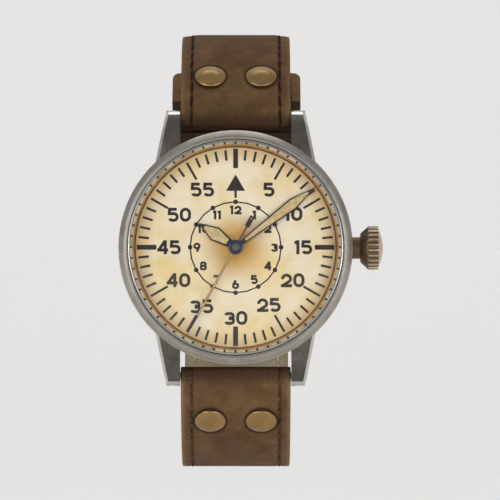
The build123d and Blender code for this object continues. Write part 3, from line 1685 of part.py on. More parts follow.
def lining_of(end, side):
    """Add a lining under the leather, from the bar's end of it to another run."""
    with BuildSketch(Plane.YZ.offset(-strap_width / 2)) as profile:
        with BuildLine():
            strap_arcs(lining_start, end, 0, side)
            Line(strap_point(end, 0, side), strap_point(end, -strap_half, side))
            strap_arcs(end, lining_start, -strap_half, side)
            Line(strap_point(lining_start, -strap_half, side), strap_point(lining_start, 0, side))
        make_face()
    extrude(profile.sketch, amount=strap_width)


def tail_cuts(reach):
    """Cut the tail of the lower half to a blunt point, and its row of holes."""
    half = strap_width / 2
    with BuildSketch(strap_plane(long_strap_length - tail_point_length, 0, -1)) as corners:
        for edge in (1, -1):
            Polygon(
                (edge * half, 0),
                (edge * half * tail_point_share, -reach),
                (edge * half * tail_point_share, -reach - overrun),
                (edge * (half + overrun), -reach - overrun),
                (edge * (half + overrun), 0),
                align=None,
            )
    extrude(corners.sketch, amount=2 * strap_thickness, both=True, mode=Mode.SUBTRACT)
    for hole in range(strap_holes):
        run = long_strap_length - last_hole_inset - hole * strap_hole_spacing
        with BuildSketch(strap_plane(run, 0, -1)) as punch:
            Circle(strap_hole_radius)
        extrude(punch.sketch, amount=strap_thickness, both=True, mode=Mode.SUBTRACT)


# Upper half of the strap: leather turned in round the buckle pin, and a lining
pin_point = strap_point(pin_place, 0, 1)
pin_plane = strap_plane(pin_place, 0, 1)
with BuildPart() as strap_12_leather:
    strap_blank(short_leather, strap_width)
    across(bar_radius + turning_gap, strap_width, (bar_y, bar_z), Mode.SUBTRACT)
    across(buckle_pin_radius + turning_gap, strap_width, pin_point, Mode.SUBTRACT)
    rivet_seats(1)
    with BuildSketch(pin_plane):
        with Locations((0, tongue_slot_start - pin_place)):
            Rectangle(
                tongue_slot_width,
                pin_place - tongue_slot_start + strap_thickness,
                align=(Align.CENTER, Align.MIN),
            )
    extrude(amount=strap_thickness, both=True, mode=Mode.SUBTRACT)
strap_12_leather.part.label = "strap_12_leather"
export_step(strap_12_leather.part, "parts/strap_12_leather.step")

with BuildPart() as strap_12_lining:
    lining_of(lining_end, 1)
    rivet_bars(1, seat_gap, Mode.SUBTRACT)
strap_12_lining.part.label = "strap_12_lining"
export_step(strap_12_lining.part, "parts/strap_12_lining.step")

# Lower half of the strap: leather and lining out to the tail
with BuildPart() as strap_6_leather:
    strap_blank(long_leather, strap_width)
    across(bar_radius + turning_gap, strap_width, (bar_y, -bar_z), Mode.SUBTRACT)
    rivet_seats(-1)
    tail_cuts(tail_point_length)
strap_6_leather.part.label = "strap_6_leather"
export_step(strap_6_leather.part, "parts/strap_6_leather.step")

with BuildPart() as strap_6_lining:
    lining_of(long_strap_length - lining_inset, -1)
    rivet_bars(-1, seat_gap, Mode.SUBTRACT)
    tail_cuts(tail_point_length - lining_inset)
strap_6_lining.part.label = "strap_6_lining"
export_step(strap_6_lining.part, "parts/strap_6_lining.step")

# Keepers: two loops round the upper half, with room for the tail on its outside
keeper_low = strap_half + loop_gap
keeper_high = strap_half + keeper_tail_room
for run, name in ((fixed_keeper_place, "keeper_fixed"), (free_keeper_place, "keeper_free")):
    turn = radians(strap_turn(run))
    across_strap = Plane(
        (0, *strap_point(run, 0, 1)), x_dir=(1, 0, 0), z_dir=(0, -sin(turn), -cos(turn))
    )
    with BuildPart() as keeper:
        with BuildSketch(across_strap):
            with Locations((0, (keeper_high - keeper_low) / 2)):
                RectangleRounded(
                    keeper_width, keeper_low + keeper_high + 2 * keeper_wall, keeper_wall
                )
                RectangleRounded(
                    keeper_width - 2 * keeper_wall,
                    keeper_low + keeper_high,
                    keeper_inner_rounding,
                    mode=Mode.SUBTRACT,
                )
        extrude(amount=keeper_length / 2, both=True)
    keeper.part.label = name
    export_step(keeper.part, f"parts/{name}.step")

# Buckle: a frame whose ears carry the pin, and a tongue that turns on the pin
frame_width = buckle_inner_width + 2 * buckle_bar
with BuildPart() as buckle_frame:
    with BuildSketch(pin_plane):
        with Locations((0, (buckle_reach - buckle_ear_radius) / 2)):
            RectangleRounded(frame_width, buckle_reach + buckle_ear_radius, buckle_corner_radius)
        with Locations((0, buckle_reach - buckle_bar)):
            Rectangle(
                buckle_inner_width,
                buckle_reach + buckle_ear_radius,
                align=(Align.CENTER, Align.MAX),
                mode=Mode.SUBTRACT,
            )
    extrude(amount=buckle_thickness / 2, both=True)
    across(buckle_pin_radius + turning_gap, frame_width, pin_point, Mode.SUBTRACT)
buckle_frame.part.label = "buckle_frame"
export_step(buckle_frame.part, "parts/buckle_frame.step")

tongue_low = buckle_thickness / 2 + seat_gap
tongue_high = tongue_low + tongue_thickness
pin_turn = radians(strap_turn(pin_place))
tongue_plane = Plane(
    (-tongue_width / 2, *pin_point), x_dir=(0, sin(pin_turn), cos(pin_turn)), z_dir=(1, 0, 0)
)
with BuildPart() as buckle_tongue:
    with BuildSketch(tongue_plane):
        Circle(tongue_ring_radius)
        Polygon(
            (0, 0),
            (0, tongue_ring_radius),
            (buckle_reach - 2 * buckle_bar, tongue_high),
            (buckle_reach + tongue_overhang, tongue_high),
            (buckle_reach + tongue_overhang, tongue_low),
            (buckle_reach - 2 * buckle_bar, tongue_low),
            align=None,
        )
        Circle(buckle_pin_radius + turning_gap, mode=Mode.SUBTRACT)
    extrude(amount=tongue_width)
buckle_tongue.part.label = "buckle_tongue"
export_step(buckle_tongue.part, "parts/buckle_tongue.step")

with BuildPart() as buckle_pin:
    across(buckle_pin_radius, frame_width / 2 - turning_gap, pin_point)
buckle_pin.part.label = "buckle_pin"
export_step(buckle_pin.part, "parts/buckle_pin.step")
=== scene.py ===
import sys
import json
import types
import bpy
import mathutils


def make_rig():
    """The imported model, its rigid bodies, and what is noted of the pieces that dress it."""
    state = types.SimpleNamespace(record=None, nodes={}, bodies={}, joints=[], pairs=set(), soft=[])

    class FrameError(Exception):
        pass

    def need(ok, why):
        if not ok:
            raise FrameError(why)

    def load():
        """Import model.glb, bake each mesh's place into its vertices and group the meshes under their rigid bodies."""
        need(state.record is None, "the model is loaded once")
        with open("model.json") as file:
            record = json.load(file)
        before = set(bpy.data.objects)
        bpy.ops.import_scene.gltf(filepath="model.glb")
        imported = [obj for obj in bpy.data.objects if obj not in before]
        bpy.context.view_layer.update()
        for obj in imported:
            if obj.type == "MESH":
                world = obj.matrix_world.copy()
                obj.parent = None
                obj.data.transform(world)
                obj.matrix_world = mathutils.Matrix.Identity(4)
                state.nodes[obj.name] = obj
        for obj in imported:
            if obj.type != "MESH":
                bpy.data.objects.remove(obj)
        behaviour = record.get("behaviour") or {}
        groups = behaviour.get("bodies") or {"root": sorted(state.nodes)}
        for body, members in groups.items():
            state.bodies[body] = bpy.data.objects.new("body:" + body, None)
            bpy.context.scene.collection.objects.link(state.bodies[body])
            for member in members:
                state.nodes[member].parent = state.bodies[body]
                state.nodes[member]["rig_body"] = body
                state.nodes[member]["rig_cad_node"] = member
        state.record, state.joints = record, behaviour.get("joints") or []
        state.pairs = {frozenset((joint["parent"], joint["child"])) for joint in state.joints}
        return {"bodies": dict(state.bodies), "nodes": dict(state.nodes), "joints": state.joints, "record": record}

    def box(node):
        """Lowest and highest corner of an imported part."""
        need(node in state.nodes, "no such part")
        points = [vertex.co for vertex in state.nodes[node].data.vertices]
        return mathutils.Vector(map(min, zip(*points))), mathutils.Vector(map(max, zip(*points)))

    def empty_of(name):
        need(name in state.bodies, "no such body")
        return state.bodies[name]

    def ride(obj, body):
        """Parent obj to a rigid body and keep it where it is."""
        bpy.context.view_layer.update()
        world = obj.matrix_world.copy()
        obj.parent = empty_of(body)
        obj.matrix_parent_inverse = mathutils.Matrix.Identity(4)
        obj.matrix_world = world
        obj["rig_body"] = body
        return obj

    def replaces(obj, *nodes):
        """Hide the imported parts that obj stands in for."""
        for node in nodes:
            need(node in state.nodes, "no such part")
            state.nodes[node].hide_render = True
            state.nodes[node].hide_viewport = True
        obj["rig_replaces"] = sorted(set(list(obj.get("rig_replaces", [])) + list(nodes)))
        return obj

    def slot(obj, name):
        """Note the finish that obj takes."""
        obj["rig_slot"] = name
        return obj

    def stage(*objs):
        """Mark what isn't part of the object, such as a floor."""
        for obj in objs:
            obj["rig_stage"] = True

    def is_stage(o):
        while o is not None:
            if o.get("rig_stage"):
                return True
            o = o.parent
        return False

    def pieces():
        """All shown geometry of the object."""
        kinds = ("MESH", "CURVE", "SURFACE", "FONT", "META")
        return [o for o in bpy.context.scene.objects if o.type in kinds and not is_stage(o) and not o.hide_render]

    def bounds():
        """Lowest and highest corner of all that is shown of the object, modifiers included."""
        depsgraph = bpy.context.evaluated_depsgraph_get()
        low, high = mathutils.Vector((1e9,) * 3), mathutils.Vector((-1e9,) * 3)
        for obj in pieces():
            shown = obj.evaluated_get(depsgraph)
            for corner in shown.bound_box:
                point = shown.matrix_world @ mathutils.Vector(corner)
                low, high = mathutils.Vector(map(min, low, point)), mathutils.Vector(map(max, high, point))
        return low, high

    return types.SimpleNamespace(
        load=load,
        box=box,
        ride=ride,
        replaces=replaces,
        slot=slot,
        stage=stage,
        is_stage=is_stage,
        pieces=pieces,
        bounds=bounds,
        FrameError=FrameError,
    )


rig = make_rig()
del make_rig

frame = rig.load()

import json
import logging
from dataclasses import dataclass, field
from enum import Enum
from math import atan2, cos, degrees, hypot, pi, radians, sin, sqrt
from typing import Any, Callable, Iterable, Sequence

import bmesh
import bpy
from bmesh.types import BMEdge, BMesh, BMVert
from bpy.types import Material, Mesh, Node, NodeSocket, Object
from mathutils import Matrix, Vector

logging.basicConfig(level=logging.INFO, format="%(message)s")
log = logging.getLogger("pilot watch")

# Millimetres to metres
MM = 0.001
FRAME_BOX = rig.bounds()
# The watch's own frame: x to three o'clock, y to twelve, z out through the crystal, in mm
WATCH = Matrix.Rotation(radians(90), 4, "X") @ Matrix.Scale(MM, 4)
# The frame that all pieces share, in mm
ROW = Matrix.Scale(MM, 4)

Point = tuple[float, float]
Triple = tuple[float, float, float]
Stops = Sequence[tuple[float, str]]


# ---------------------------------------------------------------- materials


def linear(hex_colour: str) -> tuple[float, float, float, float]:
    """Turn an sRGB hex colour into Blender's linear colour.

    Args:
        hex_colour: The colour as "#rrggbb".

    Returns:
        The linear red, green and blue, and full opacity.
    """
    values = [int(hex_colour[place : place + 2], 16) / 255 for place in (1, 3, 5)]
    red, green, blue = (v / 12.92 if v <= 0.04045 else ((v + 0.055) / 1.055) ** 2.4 for v in values)
    return red, green, blue, 1.0


def per_mm(size: float) -> float:
    """The texture scale, on coordinates in metres, of a pattern of a size in millimetres."""
    return 1 / (size * MM)


class Graph:
    """The node tree of one material."""

    def __init__(self, name: str) -> None:
        """Start an empty material.

        Args:
            name: The material's name.
        """
        self.material = bpy.data.materials.new(name)
        self.material.use_nodes = True
        self.tree = self.material.node_tree
        self.tree.nodes.clear()
        self.out = self.add("OutputMaterial")

    def add(
        self, kind: str, inputs: dict[str | int, Any] | Sequence[Any] = (), stops: Stops = (), **settings: Any
    ) -> Node:
        """Add a node with its settings and links.

        Args:
            kind: The shader node's type.
            inputs: What each input holds, by name or number or in order: a value, a hex colour, or
                the node or socket that feeds it.
            stops: The places and hex colours of a colour ramp.
            settings: The node's own properties.

        Returns:
            The new node.
        """
        node = self.tree.nodes.new("ShaderNode" + kind)
        for name, value in settings.items():
            setattr(node, name, value)
        for name, value in inputs.items() if isinstance(inputs, dict) else enumerate(inputs):
            value = value.outputs[0] if isinstance(value, Node) else value
            if isinstance(value, NodeSocket):
                self.tree.links.new(value, node.inputs[name])
            else:
                node.inputs[name].default_value = linear(value) if isinstance(value, str) else value
        if stops:
            ramp = node.color_ramp
            while len(ramp.elements) < len(stops):
                ramp.elements.new(0.5)
            for element, (place, colour) in zip(ramp.elements, stops):
                element.position = place
                element.color = linear(colour)
        return node

    def axis_distance(self, parts: Node) -> NodeSocket:
        """How far a place, taken apart into x, y and z, is from the dial's axis."""
        flat = self.add("CombineXYZ", {0: parts.outputs[0], 2: parts.outputs[2]})
        return self.add("VectorMath", [flat], operation="LENGTH").outputs["Value"]

    def finish(self, shader: Node) -> Material:
        """Join a shader to the surface and hand the material over."""
        self.tree.links.new(shader.outputs[0], self.out.inputs["Surface"])
        return self.material


@dataclass(frozen=True)
class Finish:
    """What a surface is made of, and how it was made."""

    name: str

    def build(self) -> Material:
        """Build the material."""
        raise NotImplementedError

    def material(self) -> Material:
        """The finish's material, built the first time it is asked for."""
        return bpy.data.materials.get(self.name) or self.build()


class Lay(Enum):
    """The way that the lines of a metal's surface run: how far each axis is stretched."""

    TURNED = None
    STRAIGHT = (1.0, 1.0, 0.04)
    CAST = (1.0, 1.0, 1.0)


@dataclass(frozen=True)
class AgedMetal(Finish):
    """A metal with fine lines, cloudy tarnish and a few scratches.

    The metal's two tones lie in clouds a few millimetres wide, and the lines are
    drawn coarser than a real brush leaves them, so that they show at all.
    """

    dark: str
    light: str
    lay: Lay = Lay.CAST
    roughness: float = 0.34
    spread: float = 0.14
    cloud: float = 3.5
    line: float = 0.12
    depth: float = 0.25
    streaks: float = 0.8
    mottle: float = 0.5
    tone_reach: float = 0.22
    gloss_reach: float = 0.25

    def build(self) -> Material:
        """Build the metal."""
        g = Graph(self.name)
        where = g.add("TexCoord").outputs["Object"]
        if self.lay is Lay.TURNED:
            # Circles about the dial's axis: only the radius and the level change the pattern
            parts = g.add("SeparateXYZ", [where])
            stretched = g.add("CombineXYZ", [g.axis_distance(parts), parts.outputs[1]])
        else:
            stretched = g.add("Mapping", {"Vector": where, "Scale": self.lay.value})
        lines, clouds = (
            g.add("TexNoise", {"Vector": at, "Scale": per_mm(size), "Detail": fine, "Roughness": rough})
            for at, size, fine, rough in ((stretched, self.line, 3.0, 0.6), (where, self.cloud, 5.0, 0.62))
        )
        soft = g.add("Math", [clouds, self.mottle], operation="MULTIPLY")
        tone = g.add("Math", [lines, self.streaks, soft], operation="MULTIPLY_ADD")
        middle = (self.streaks + self.mottle) / 2
        ends = ((middle - self.tone_reach, self.dark), (middle + self.tone_reach, self.light))
        gloss = (middle - self.gloss_reach, middle + self.gloss_reach)
        rough = g.add("MapRange", [tone, *gloss, self.roughness + self.spread, self.roughness - self.spread])
        bump = g.add("Bump", {"Height": lines, "Strength": self.depth, "Distance": 0.02 * MM})
        base = g.add("ValToRGB", [tone], ends)
        look = {"Base Color": base, "Metallic": 1.0, "Roughness": rough, "Normal": bump}
        return g.finish(g.add("BsdfPrincipled", look))


@dataclass(frozen=True)
class DialPaint(Finish):
    """Cream paint that has yellowed: gold round the hands, fine specks, and brown towards the rim that is partly age
    and partly painted shade under the dial's wall.
    """

    fresh: str = "#F1E5CB"
    warm: str = "#EAD193"
    gold: str = "#C68F1C"
    # The brown at the rim: partly age, partly painted shade under the dial's wall
    rim: str = "#B78C30"
    speck: str = "#8F6E3C"
    # The radii between which the gold fades out, and those between which the brown of age and painted shade comes in
    tarnish: Point = (1.0, 7.285)
    shade: Point = (14.5, 18.1)
    speckling: float = 0.55

    def build(self) -> Material:
        """Build the paint."""
        g = Graph(self.name)
        where = g.add("TexCoord").outputs["Object"]
        clouds, grime = (
            g.add("TexNoise", {"Vector": where, "Scale": per_mm(size), "Detail": 6.0, "Roughness": rough})
            for size, rough in ((7.0, 0.6), (1.3, 0.65))
        )
        radius = g.axis_distance(g.add("SeparateXYZ", [where]))
        worn: Node | NodeSocket = g.add("ValToRGB", [clouds], ((0.34, self.warm), (0.6, self.fresh)))
        # Gold fades out from the hands, and brown of age and painted shade under the wall comes in at the rim, each as
        # uneven as the clouds
        for (near, far), (start, end), gain, lift, colour in (
            (self.tarnish, (1.0, 0.0), 1.0, 0.55, self.gold),
            (self.shade, (0.0, 1.0), 1.3, -0.02, self.rim),
        ):
            reach = g.add(
                "MapRange", [radius, near * MM, far * MM, start, end], interpolation_type="SMOOTHSTEP"
            )
            uneven = g.add("Math", [clouds, gain, lift], operation="MULTIPLY_ADD")
            share = g.add("Math", [reach, uneven], operation="MULTIPLY", use_clamp=True)
            worn = g.add("Mix", {0: share, 6: worn, 7: colour}, data_type="RGBA").outputs[2]
        specks = g.add("MapRange", [grime, 0.66, 0.8, 0.0, self.speckling])
        painted = g.add("Mix", {0: specks, 6: worn, 7: self.speck}, data_type="RGBA").outputs[2]
        bump = g.add("Bump", {"Height": grime, "Strength": 0.2, "Distance": 0.02 * MM})
        return g.finish(g.add("BsdfPrincipled", {"Base Color": painted, "Roughness": 0.62, "Normal": bump}))


@dataclass(frozen=True)
class GiltWall(Finish):
    """The gilt wall round the dial: dark brown at its foot as painted shade where it meets the dial, gold at its rim.
    """

    # The dark brown of the painted shade at the wall's foot
    foot: str = "#20160D"
    middle: str = "#94692B"
    top: str = "#D3A24C"
    foot_level: float = 9.3
    top_level: float = 10.7
    unevenness: float = 0.5

    def build(self) -> Material:
        """Build the gilding."""
        g = Graph(self.name)
        where = g.add("TexCoord").outputs["Object"]
        out = g.add("SeparateXYZ", [where]).outputs[1]
        grime = g.add("TexNoise", {"Vector": where, "Scale": per_mm(2.0), "Detail": 5.0, "Roughness": 0.6})
        # The noise lies about one half, so half of its weight comes off the level
        low = -self.unevenness / 2
        level = g.add("MapRange", [out, -self.foot_level * MM, -self.top_level * MM, low, low + 1])
        height = g.add("Math", [grime, self.unevenness, level], operation="MULTIPLY_ADD")
        # Dark at the foot: painted shade where the wall meets the dial
        base = g.add("ValToRGB", [height], ((0.2, self.foot), (0.42, self.middle), (0.85, self.top)))
        bump = g.add("Bump", {"Height": grime, "Strength": 0.2, "Distance": 0.03 * MM})
        look = {"Base Color": base, "Metallic": 0.5, "Roughness": 0.45, "Normal": bump}
        return g.finish(g.add("BsdfPrincipled", look))


@dataclass(frozen=True)
class Paint(Finish):
    """Paint or ink with a faint unevenness, as printed or filled by hand."""

    colour: str
    worn: str
    size: float = 0.5
    roughness: float = 0.55
    gloss: float = 0.5

    def build(self) -> Material:
        """Build the paint."""
        g = Graph(self.name)
        where = g.add("TexCoord").outputs["Object"]
        scale = per_mm(self.size)
        grain = g.add("TexNoise", {"Vector": where, "Scale": scale, "Detail": 5.0, "Roughness": 0.6})
        tint = g.add("ValToRGB", [grain], ((0.4, self.colour), (0.72, self.worn)))
        bump = g.add("Bump", {"Height": grain, "Strength": 0.2, "Distance": 0.02 * MM})
        look = {
            "Base Color": tint, "Roughness": self.roughness, "Specular IOR Level": self.gloss, "Normal": bump
        }
        return g.finish(g.add("BsdfPrincipled", look))


@dataclass(frozen=True)
class MinuteRing(Finish):
    """Painted reflection of the dial's cream and minute marks in the crystal's edge: a cream ring with a dark dash at
    each minute.
    """

    cream: str = "#D9CDAE"
    dirt: str = "#A89878"
    dash: str = "#3B332B"
    minute: float = radians(6)
    dash_turn: float = 0.0105

    def build(self) -> Material:
        """Build the ring's paint."""
        g = Graph(self.name)
        where = g.add("TexCoord").outputs["Object"]
        parts = g.add("SeparateXYZ", [where])
        turn = g.add("Math", [parts.outputs[0], parts.outputs[2]], operation="ARCTAN2")
        # The turn runs to and fro between two minutes, so that a dash lies at either end
        off = g.add("Math", [turn, self.minute], operation="PINGPONG")
        odd = g.add("Math", [off, self.minute - self.dash_turn], operation="GREATER_THAN")
        even = g.add("Math", [off, self.dash_turn], operation="LESS_THAN")
        mark = g.add("Math", [odd, even], operation="ADD", use_clamp=True)
        grime = g.add("TexNoise", {"Vector": where, "Scale": per_mm(2.5), "Detail": 4.0})
        paper = g.add("ValToRGB", [grime], ((0.35, self.dirt), (0.6, self.cream)))
        colour = g.add("Mix", {0: mark, 6: paper, 7: self.dash}, data_type="RGBA").outputs[2]
        return g.finish(g.add("BsdfPrincipled", {"Base Color": colour, "Roughness": 0.45}))


@dataclass(frozen=True)
class Crystal(Finish):
    """Clear glass with a coating against reflections; shadows pass through it, so the dial stays lit."""

    tint: str = "#FDFDFB"
    clear: str = "#FFFFFF"
    coating: float = 0.12

    def build(self) -> Material:
        """Build the glass."""
        g = Graph(self.name)
        shadow = g.add("LightPath").outputs["Is Shadow Ray"]
        look = {"Base Color": self.tint, "Roughness": 0.0, "IOR": 1.45, "Transmission Weight": 1.0}
        glass = g.add("BsdfPrincipled", {**look, "Specular IOR Level": self.coating})
        return g.finish(g.add("MixShader", [shadow, glass, g.add("BsdfTransparent", [self.clear])]))


@dataclass(frozen=True)
class Leather(Finish):
    """Waxed calf leather: pores and creases a few tenths of a millimetre apart, worn pale at
    the edges, with painted shade in the fold round the spring bar and a painted shadow round
    each rivet. It reads the flat map that each strap piece carries,
    in millimetres: across the strap, along it, and through it.
    """

    dark: str
    middle: str
    pale: str
    edge: str
    # Dark brown for the stitch channels, and for the painted shade in the fold round the spring bar
    dirt: str = "#2A1C12"
    # The dark brown of the painted shadow round each rivet
    dent: str = "#23170E"
    half_width: float = 9.9
    stitch_line: float = 7.95
    rivet: Triple = (4.6, 8.4, 0.0)
    grain: float = 0.55
    # The run where the painted shade of the fold ends
    fold: float = 1.2
    channel: float = 0.6

    def build(self) -> Material:
        """Build the leather."""
        g = Graph(self.name)
        flat = g.add("Attribute", attribute_name="flat").outputs["Vector"]
        clouds, mottle = (
            g.add("TexNoise", {"Vector": flat, "Scale": 1 / size, "Detail": fine, "Roughness": rough})
            for size, fine, rough in ((6.0, 7.0, 0.62), (1.1, 6.0, 0.7))
        )
        cells = {"Vector": flat, "Scale": 1 / self.grain, "Randomness": 1.0}
        pores = g.add("TexVoronoi", cells, feature="DISTANCE_TO_EDGE").outputs["Distance"]
        side, run, rise = g.add("SeparateXYZ", [flat]).outputs
        across = g.add("Math", [side], operation="ABSOLUTE")
        tone = g.add("Math", [mottle, 0.55, clouds], operation="MULTIPLY_ADD")
        worn: Node | NodeSocket = g.add(
            "ValToRGB", [tone], ((0.55, self.dark), (0.78, self.middle), (1.0, self.pale))
        )
        off = g.add("Math", [across, self.stitch_line], operation="SUBTRACT")
        off = g.add("Math", [off], operation="ABSOLUTE")
        spot = g.add("CombineXYZ", [across, run])
        reach = g.add("VectorMath", [spot, self.rivet], operation="DISTANCE").outputs["Value"]
        outside = g.add("Math", [rise, 0.5], operation="GREATER_THAN")
        rub = (self.half_width - 1.1, self.half_width + 0.05)
        for value, (near, far), (start, end), share, colour in (
            # The dye has rubbed off the edges
            (across, rub, (0.0, 1.3), mottle, self.edge),
            # The stitches sit in a dark channel
            (off, (0.12, 0.5), (self.channel, 0.0), 1.0, self.dirt),
            # Painted shadow: a dark ring round each rivet on the outer face
            (reach, (2.8, 3.5), (0.8, 0.0), outside, self.dent),
            # Painted shade: dark brown in the fold round the spring bar
            (run, (-1.2, self.fold), (0.6, 0.0), 1.0, self.dirt),
        ):
            mask = g.add("MapRange", [value, near, far, start, end], interpolation_type="SMOOTHSTEP")
            mask = g.add("Math", [mask, share], operation="MULTIPLY", use_clamp=True)
            worn = g.add("Mix", {0: mask, 6: worn, 7: colour}, data_type="RGBA").outputs[2]
        skin = g.add("MapRange", [pores, 0.0, 0.12])
        height = g.add("Math", [skin, 0.4, mottle], operation="MULTIPLY_ADD")
        look = {
            "Base Color": worn,
            "Roughness": g.add("MapRange", [mottle, 0.3, 0.7, 0.62, 0.85]),
            "Specular IOR Level": 0.16,
            "Normal": g.add("Bump", {"Height": height, "Strength": 0.55, "Distance": 0.08 * MM}),
        }
        return g.finish(g.add("BsdfPrincipled", look))


@dataclass(frozen=True)
class Backdrop(Finish):
    """Matt pale paper, which keeps the object's shadow."""

    colour: str = "#EDECEA"
    light: str = "#FFFFFF"
    glow: float = 0.25

    def build(self) -> Material:
        """Build the paper."""
        g = Graph(self.name)
        where = g.add("TexCoord").outputs["Object"]
        fibre = g.add("TexNoise", {"Vector": where, "Scale": per_mm(1.5), "Detail": 2.0})
        # The camera, also by way of metal or glass, sees the paper brighter than it lights the watch
        path = g.add("LightPath").outputs
        mirrored = g.add("Math", [path["Is Glossy Ray"], path["Is Transmission Ray"]], operation="MAXIMUM")
        seen = g.add("Math", [path["Is Camera Ray"], mirrored], operation="MAXIMUM")
        look = {
            "Base Color": self.colour,
            "Roughness": 0.9,
            "Normal": g.add("Bump", {"Height": fibre, "Strength": 0.03, "Distance": 0.05 * MM}),
            "Emission Color": self.light,
            "Emission Strength": g.add("Math", [seen, self.glow], operation="MULTIPLY"),
        }
        return g.finish(g.add("BsdfPrincipled", look))


# Antique-finished stainless steel: darkened in a bath, then rubbed back, so the flats are a
# cloudy grey and the edges shine
CASE_STEEL = AgedMetal("antique_steel_turned", "#8B837B", "#C6BFB6", Lay.TURNED, 0.36, 0.08)
LUG_STEEL = AgedMetal("antique_steel_brushed", "#494641", "#807A73", Lay.STRAIGHT, 0.38, 0.08)
EDGE_STEEL = AgedMetal("polished_steel_edge", "#B9B5AE", "#E2DFDA", Lay.CAST, 0.22, 0.06, depth=0.1)
BEZEL_STEEL = AgedMetal("satin_steel_bezel", "#8E8983", "#C4BFB9", Lay.TURNED, 0.27, 0.08, depth=0.15)
GROOVE_STEEL = AgedMetal("oxidised_steel_groove", "#2E2B29", "#4A4643", Lay.TURNED, 0.5, 0.08)
# The crown's steel has kept a warm brown film
CROWN_STEEL = AgedMetal("bronzed_steel_crown", "#AD9A80", "#E2D0B5", Lay.CAST, 0.3, 0.09)
# A darker copy of the crown's steel: painted shade in the floors of the flutes and on the tube under the crown
FLUTE_STEEL = AgedMetal("bronzed_steel_flute", "#5C4C3A", "#867259", Lay.CAST, 0.45, 0.06)
# Antique brass: brown in the dips, rubbed pale on the dome
RIVET_BRASS = AgedMetal("antique_brass", "#8A6E46", "#B99766", Lay.CAST, 0.32, 0.06, cloud=4.0)
RING_BRASS = GiltWall("gilt_dial_wall")
# The works: warm gilt wheels, cool plated bridges and bright pinions
WHEEL_BRASS = AgedMetal("gilt_brass_wheel", "#A8843F", "#D6B468", Lay.TURNED, 0.3, 0.08)
NICKEL = AgedMetal("nickel_plated_brass", "#9C9A94", "#CCCAC3", Lay.STRAIGHT, 0.3, 0.08)
PINION = AgedMetal("polished_pinion_steel", "#8A8884", "#B8B5B0", Lay.CAST, 0.26, 0.06)
# Steel blued by heat, a deep blue that turns paler where it catches light
BLUED = AgedMetal("heat_blued_steel", "#17243C", "#283F62", Lay.CAST, 0.3, 0.06, cloud=1.2)
DIAL_PAINT = DialPaint("aged_cream_lacquer")
# Printing ink, browned with age
DIAL_INK = Paint("dial_print_ink", "#1E1712", "#33271D", 0.6, 0.8, 0.12)
# Old luminous paint: chalky, khaki, crumbling a little
HAND_LUME = Paint("luminous_paint", "#BDA472", "#E0CA96", 0.9, 0.75, 0.25)
GOLD_LUME = Paint("luminous_paint_seconds", "#B8914E", "#DFC080", 0.9, 0.6, 0.25)
# Dark enamel on the hands, thin enough at the stem to look brown
HAND_DARK = Paint("hand_frame_enamel", "#1A1819", "#2B2725", 0.5, 0.45, 0.25)
STEM_BROWN = Paint("hand_stem_lacquer", "#4A2E1A", "#6B472A", 0.5, 0.4)
CAP_GREEN = AgedMetal("oxidised_cap_steel", "#3D423B", "#646A60", Lay.CAST, 0.4, 0.06, cloud=0.8)
# Painted reflection: the dial's cream and minute marks as seen in the crystal's edge, laid on a ring in place of the
# crystal's seal
MINUTE_RING = MinuteRing("cream_minute_ring")
CRYSTAL = Crystal("sapphire_crystal")
# Matt black seals and glassy red bearing stones
RUBBER = Paint("nitrile_rubber", "#141414", "#20201F", 0.3, 0.6)
RUBY = Paint("synthetic_ruby", "#8F1428", "#B3213A", 0.4, 0.12)
# Waxed brown calf: the lower half is paler, with paler edges, partly from wear and partly as painted light where it
# curls under, away from the lamps
STRAP_TOP = Leather("waxed_calf_upper", "#513A23", "#674B30", "#785B3B", "#84694A")
STRAP_LOW = Leather("waxed_calf_lower", "#60462E", "#76583B", "#896A4B", "#A98D69")
# Cream lining, painted paler than its own cream: painted light where it lies in shade at the back of the loop
LINING = Leather(
    "cream_lining_leather", "#D6C398", "#EAD9B2", "#F4E8CB", "#DAC79E", grain=0.35, fold=-2.0, channel=0.22
)
# The upper half is faced with the same calf on its inside, painted darker as the shade inside the loop and in the
# keepers
TURNED_IN = Leather("waxed_calf_lining", "#35261A", "#463324", "#563F2C", "#563F2C", fold=-2.0, channel=0.3)
# Waxed thread: nearly black on the upper half, rubbed pale on the lower one, cream inside
THREAD = Paint("waxed_linen_thread", "#21150D", "#3F2B1B", 0.25, 0.8, 0.08)
PALE_THREAD = Paint("worn_linen_thread", "#3A291B", "#94795A", 0.9, 0.8, 0.08)
CREAM_THREAD = Paint("cream_linen_thread", "#B8A57E", "#DCCCA6", 0.4, 0.8, 0.1)


# ---------------------------------------------------------------- making pieces


def linked(name: str, data: Any) -> Object:
    """Make an object and put it in the scene.

    Args:
        name: Its name.
        data: Its mesh, light or camera.

    Returns:
        The new object.
    """
    made = bpy.data.objects.new(name, data)
    bpy.context.scene.collection.objects.link(made)
    return made


def settled(bm: BMesh, name: str) -> Mesh:
    """Turn a bmesh into a mesh, and free it.

    Args:
        bm: The bmesh.
        name: The mesh's name.

    Returns:
        The new mesh.
    """
    mesh = bpy.data.meshes.new(name)
    bm.to_mesh(mesh)
    bm.free()
    return mesh


def absorb(bm: BMesh, part: BMesh) -> None:
    """Add one bmesh to another, and free it.

    Args:
        bm: The bmesh that grows.
        part: The bmesh that is added.
    """
    mesh = settled(part, "part")
    bm.from_mesh(mesh)
    bpy.data.meshes.remove(mesh)


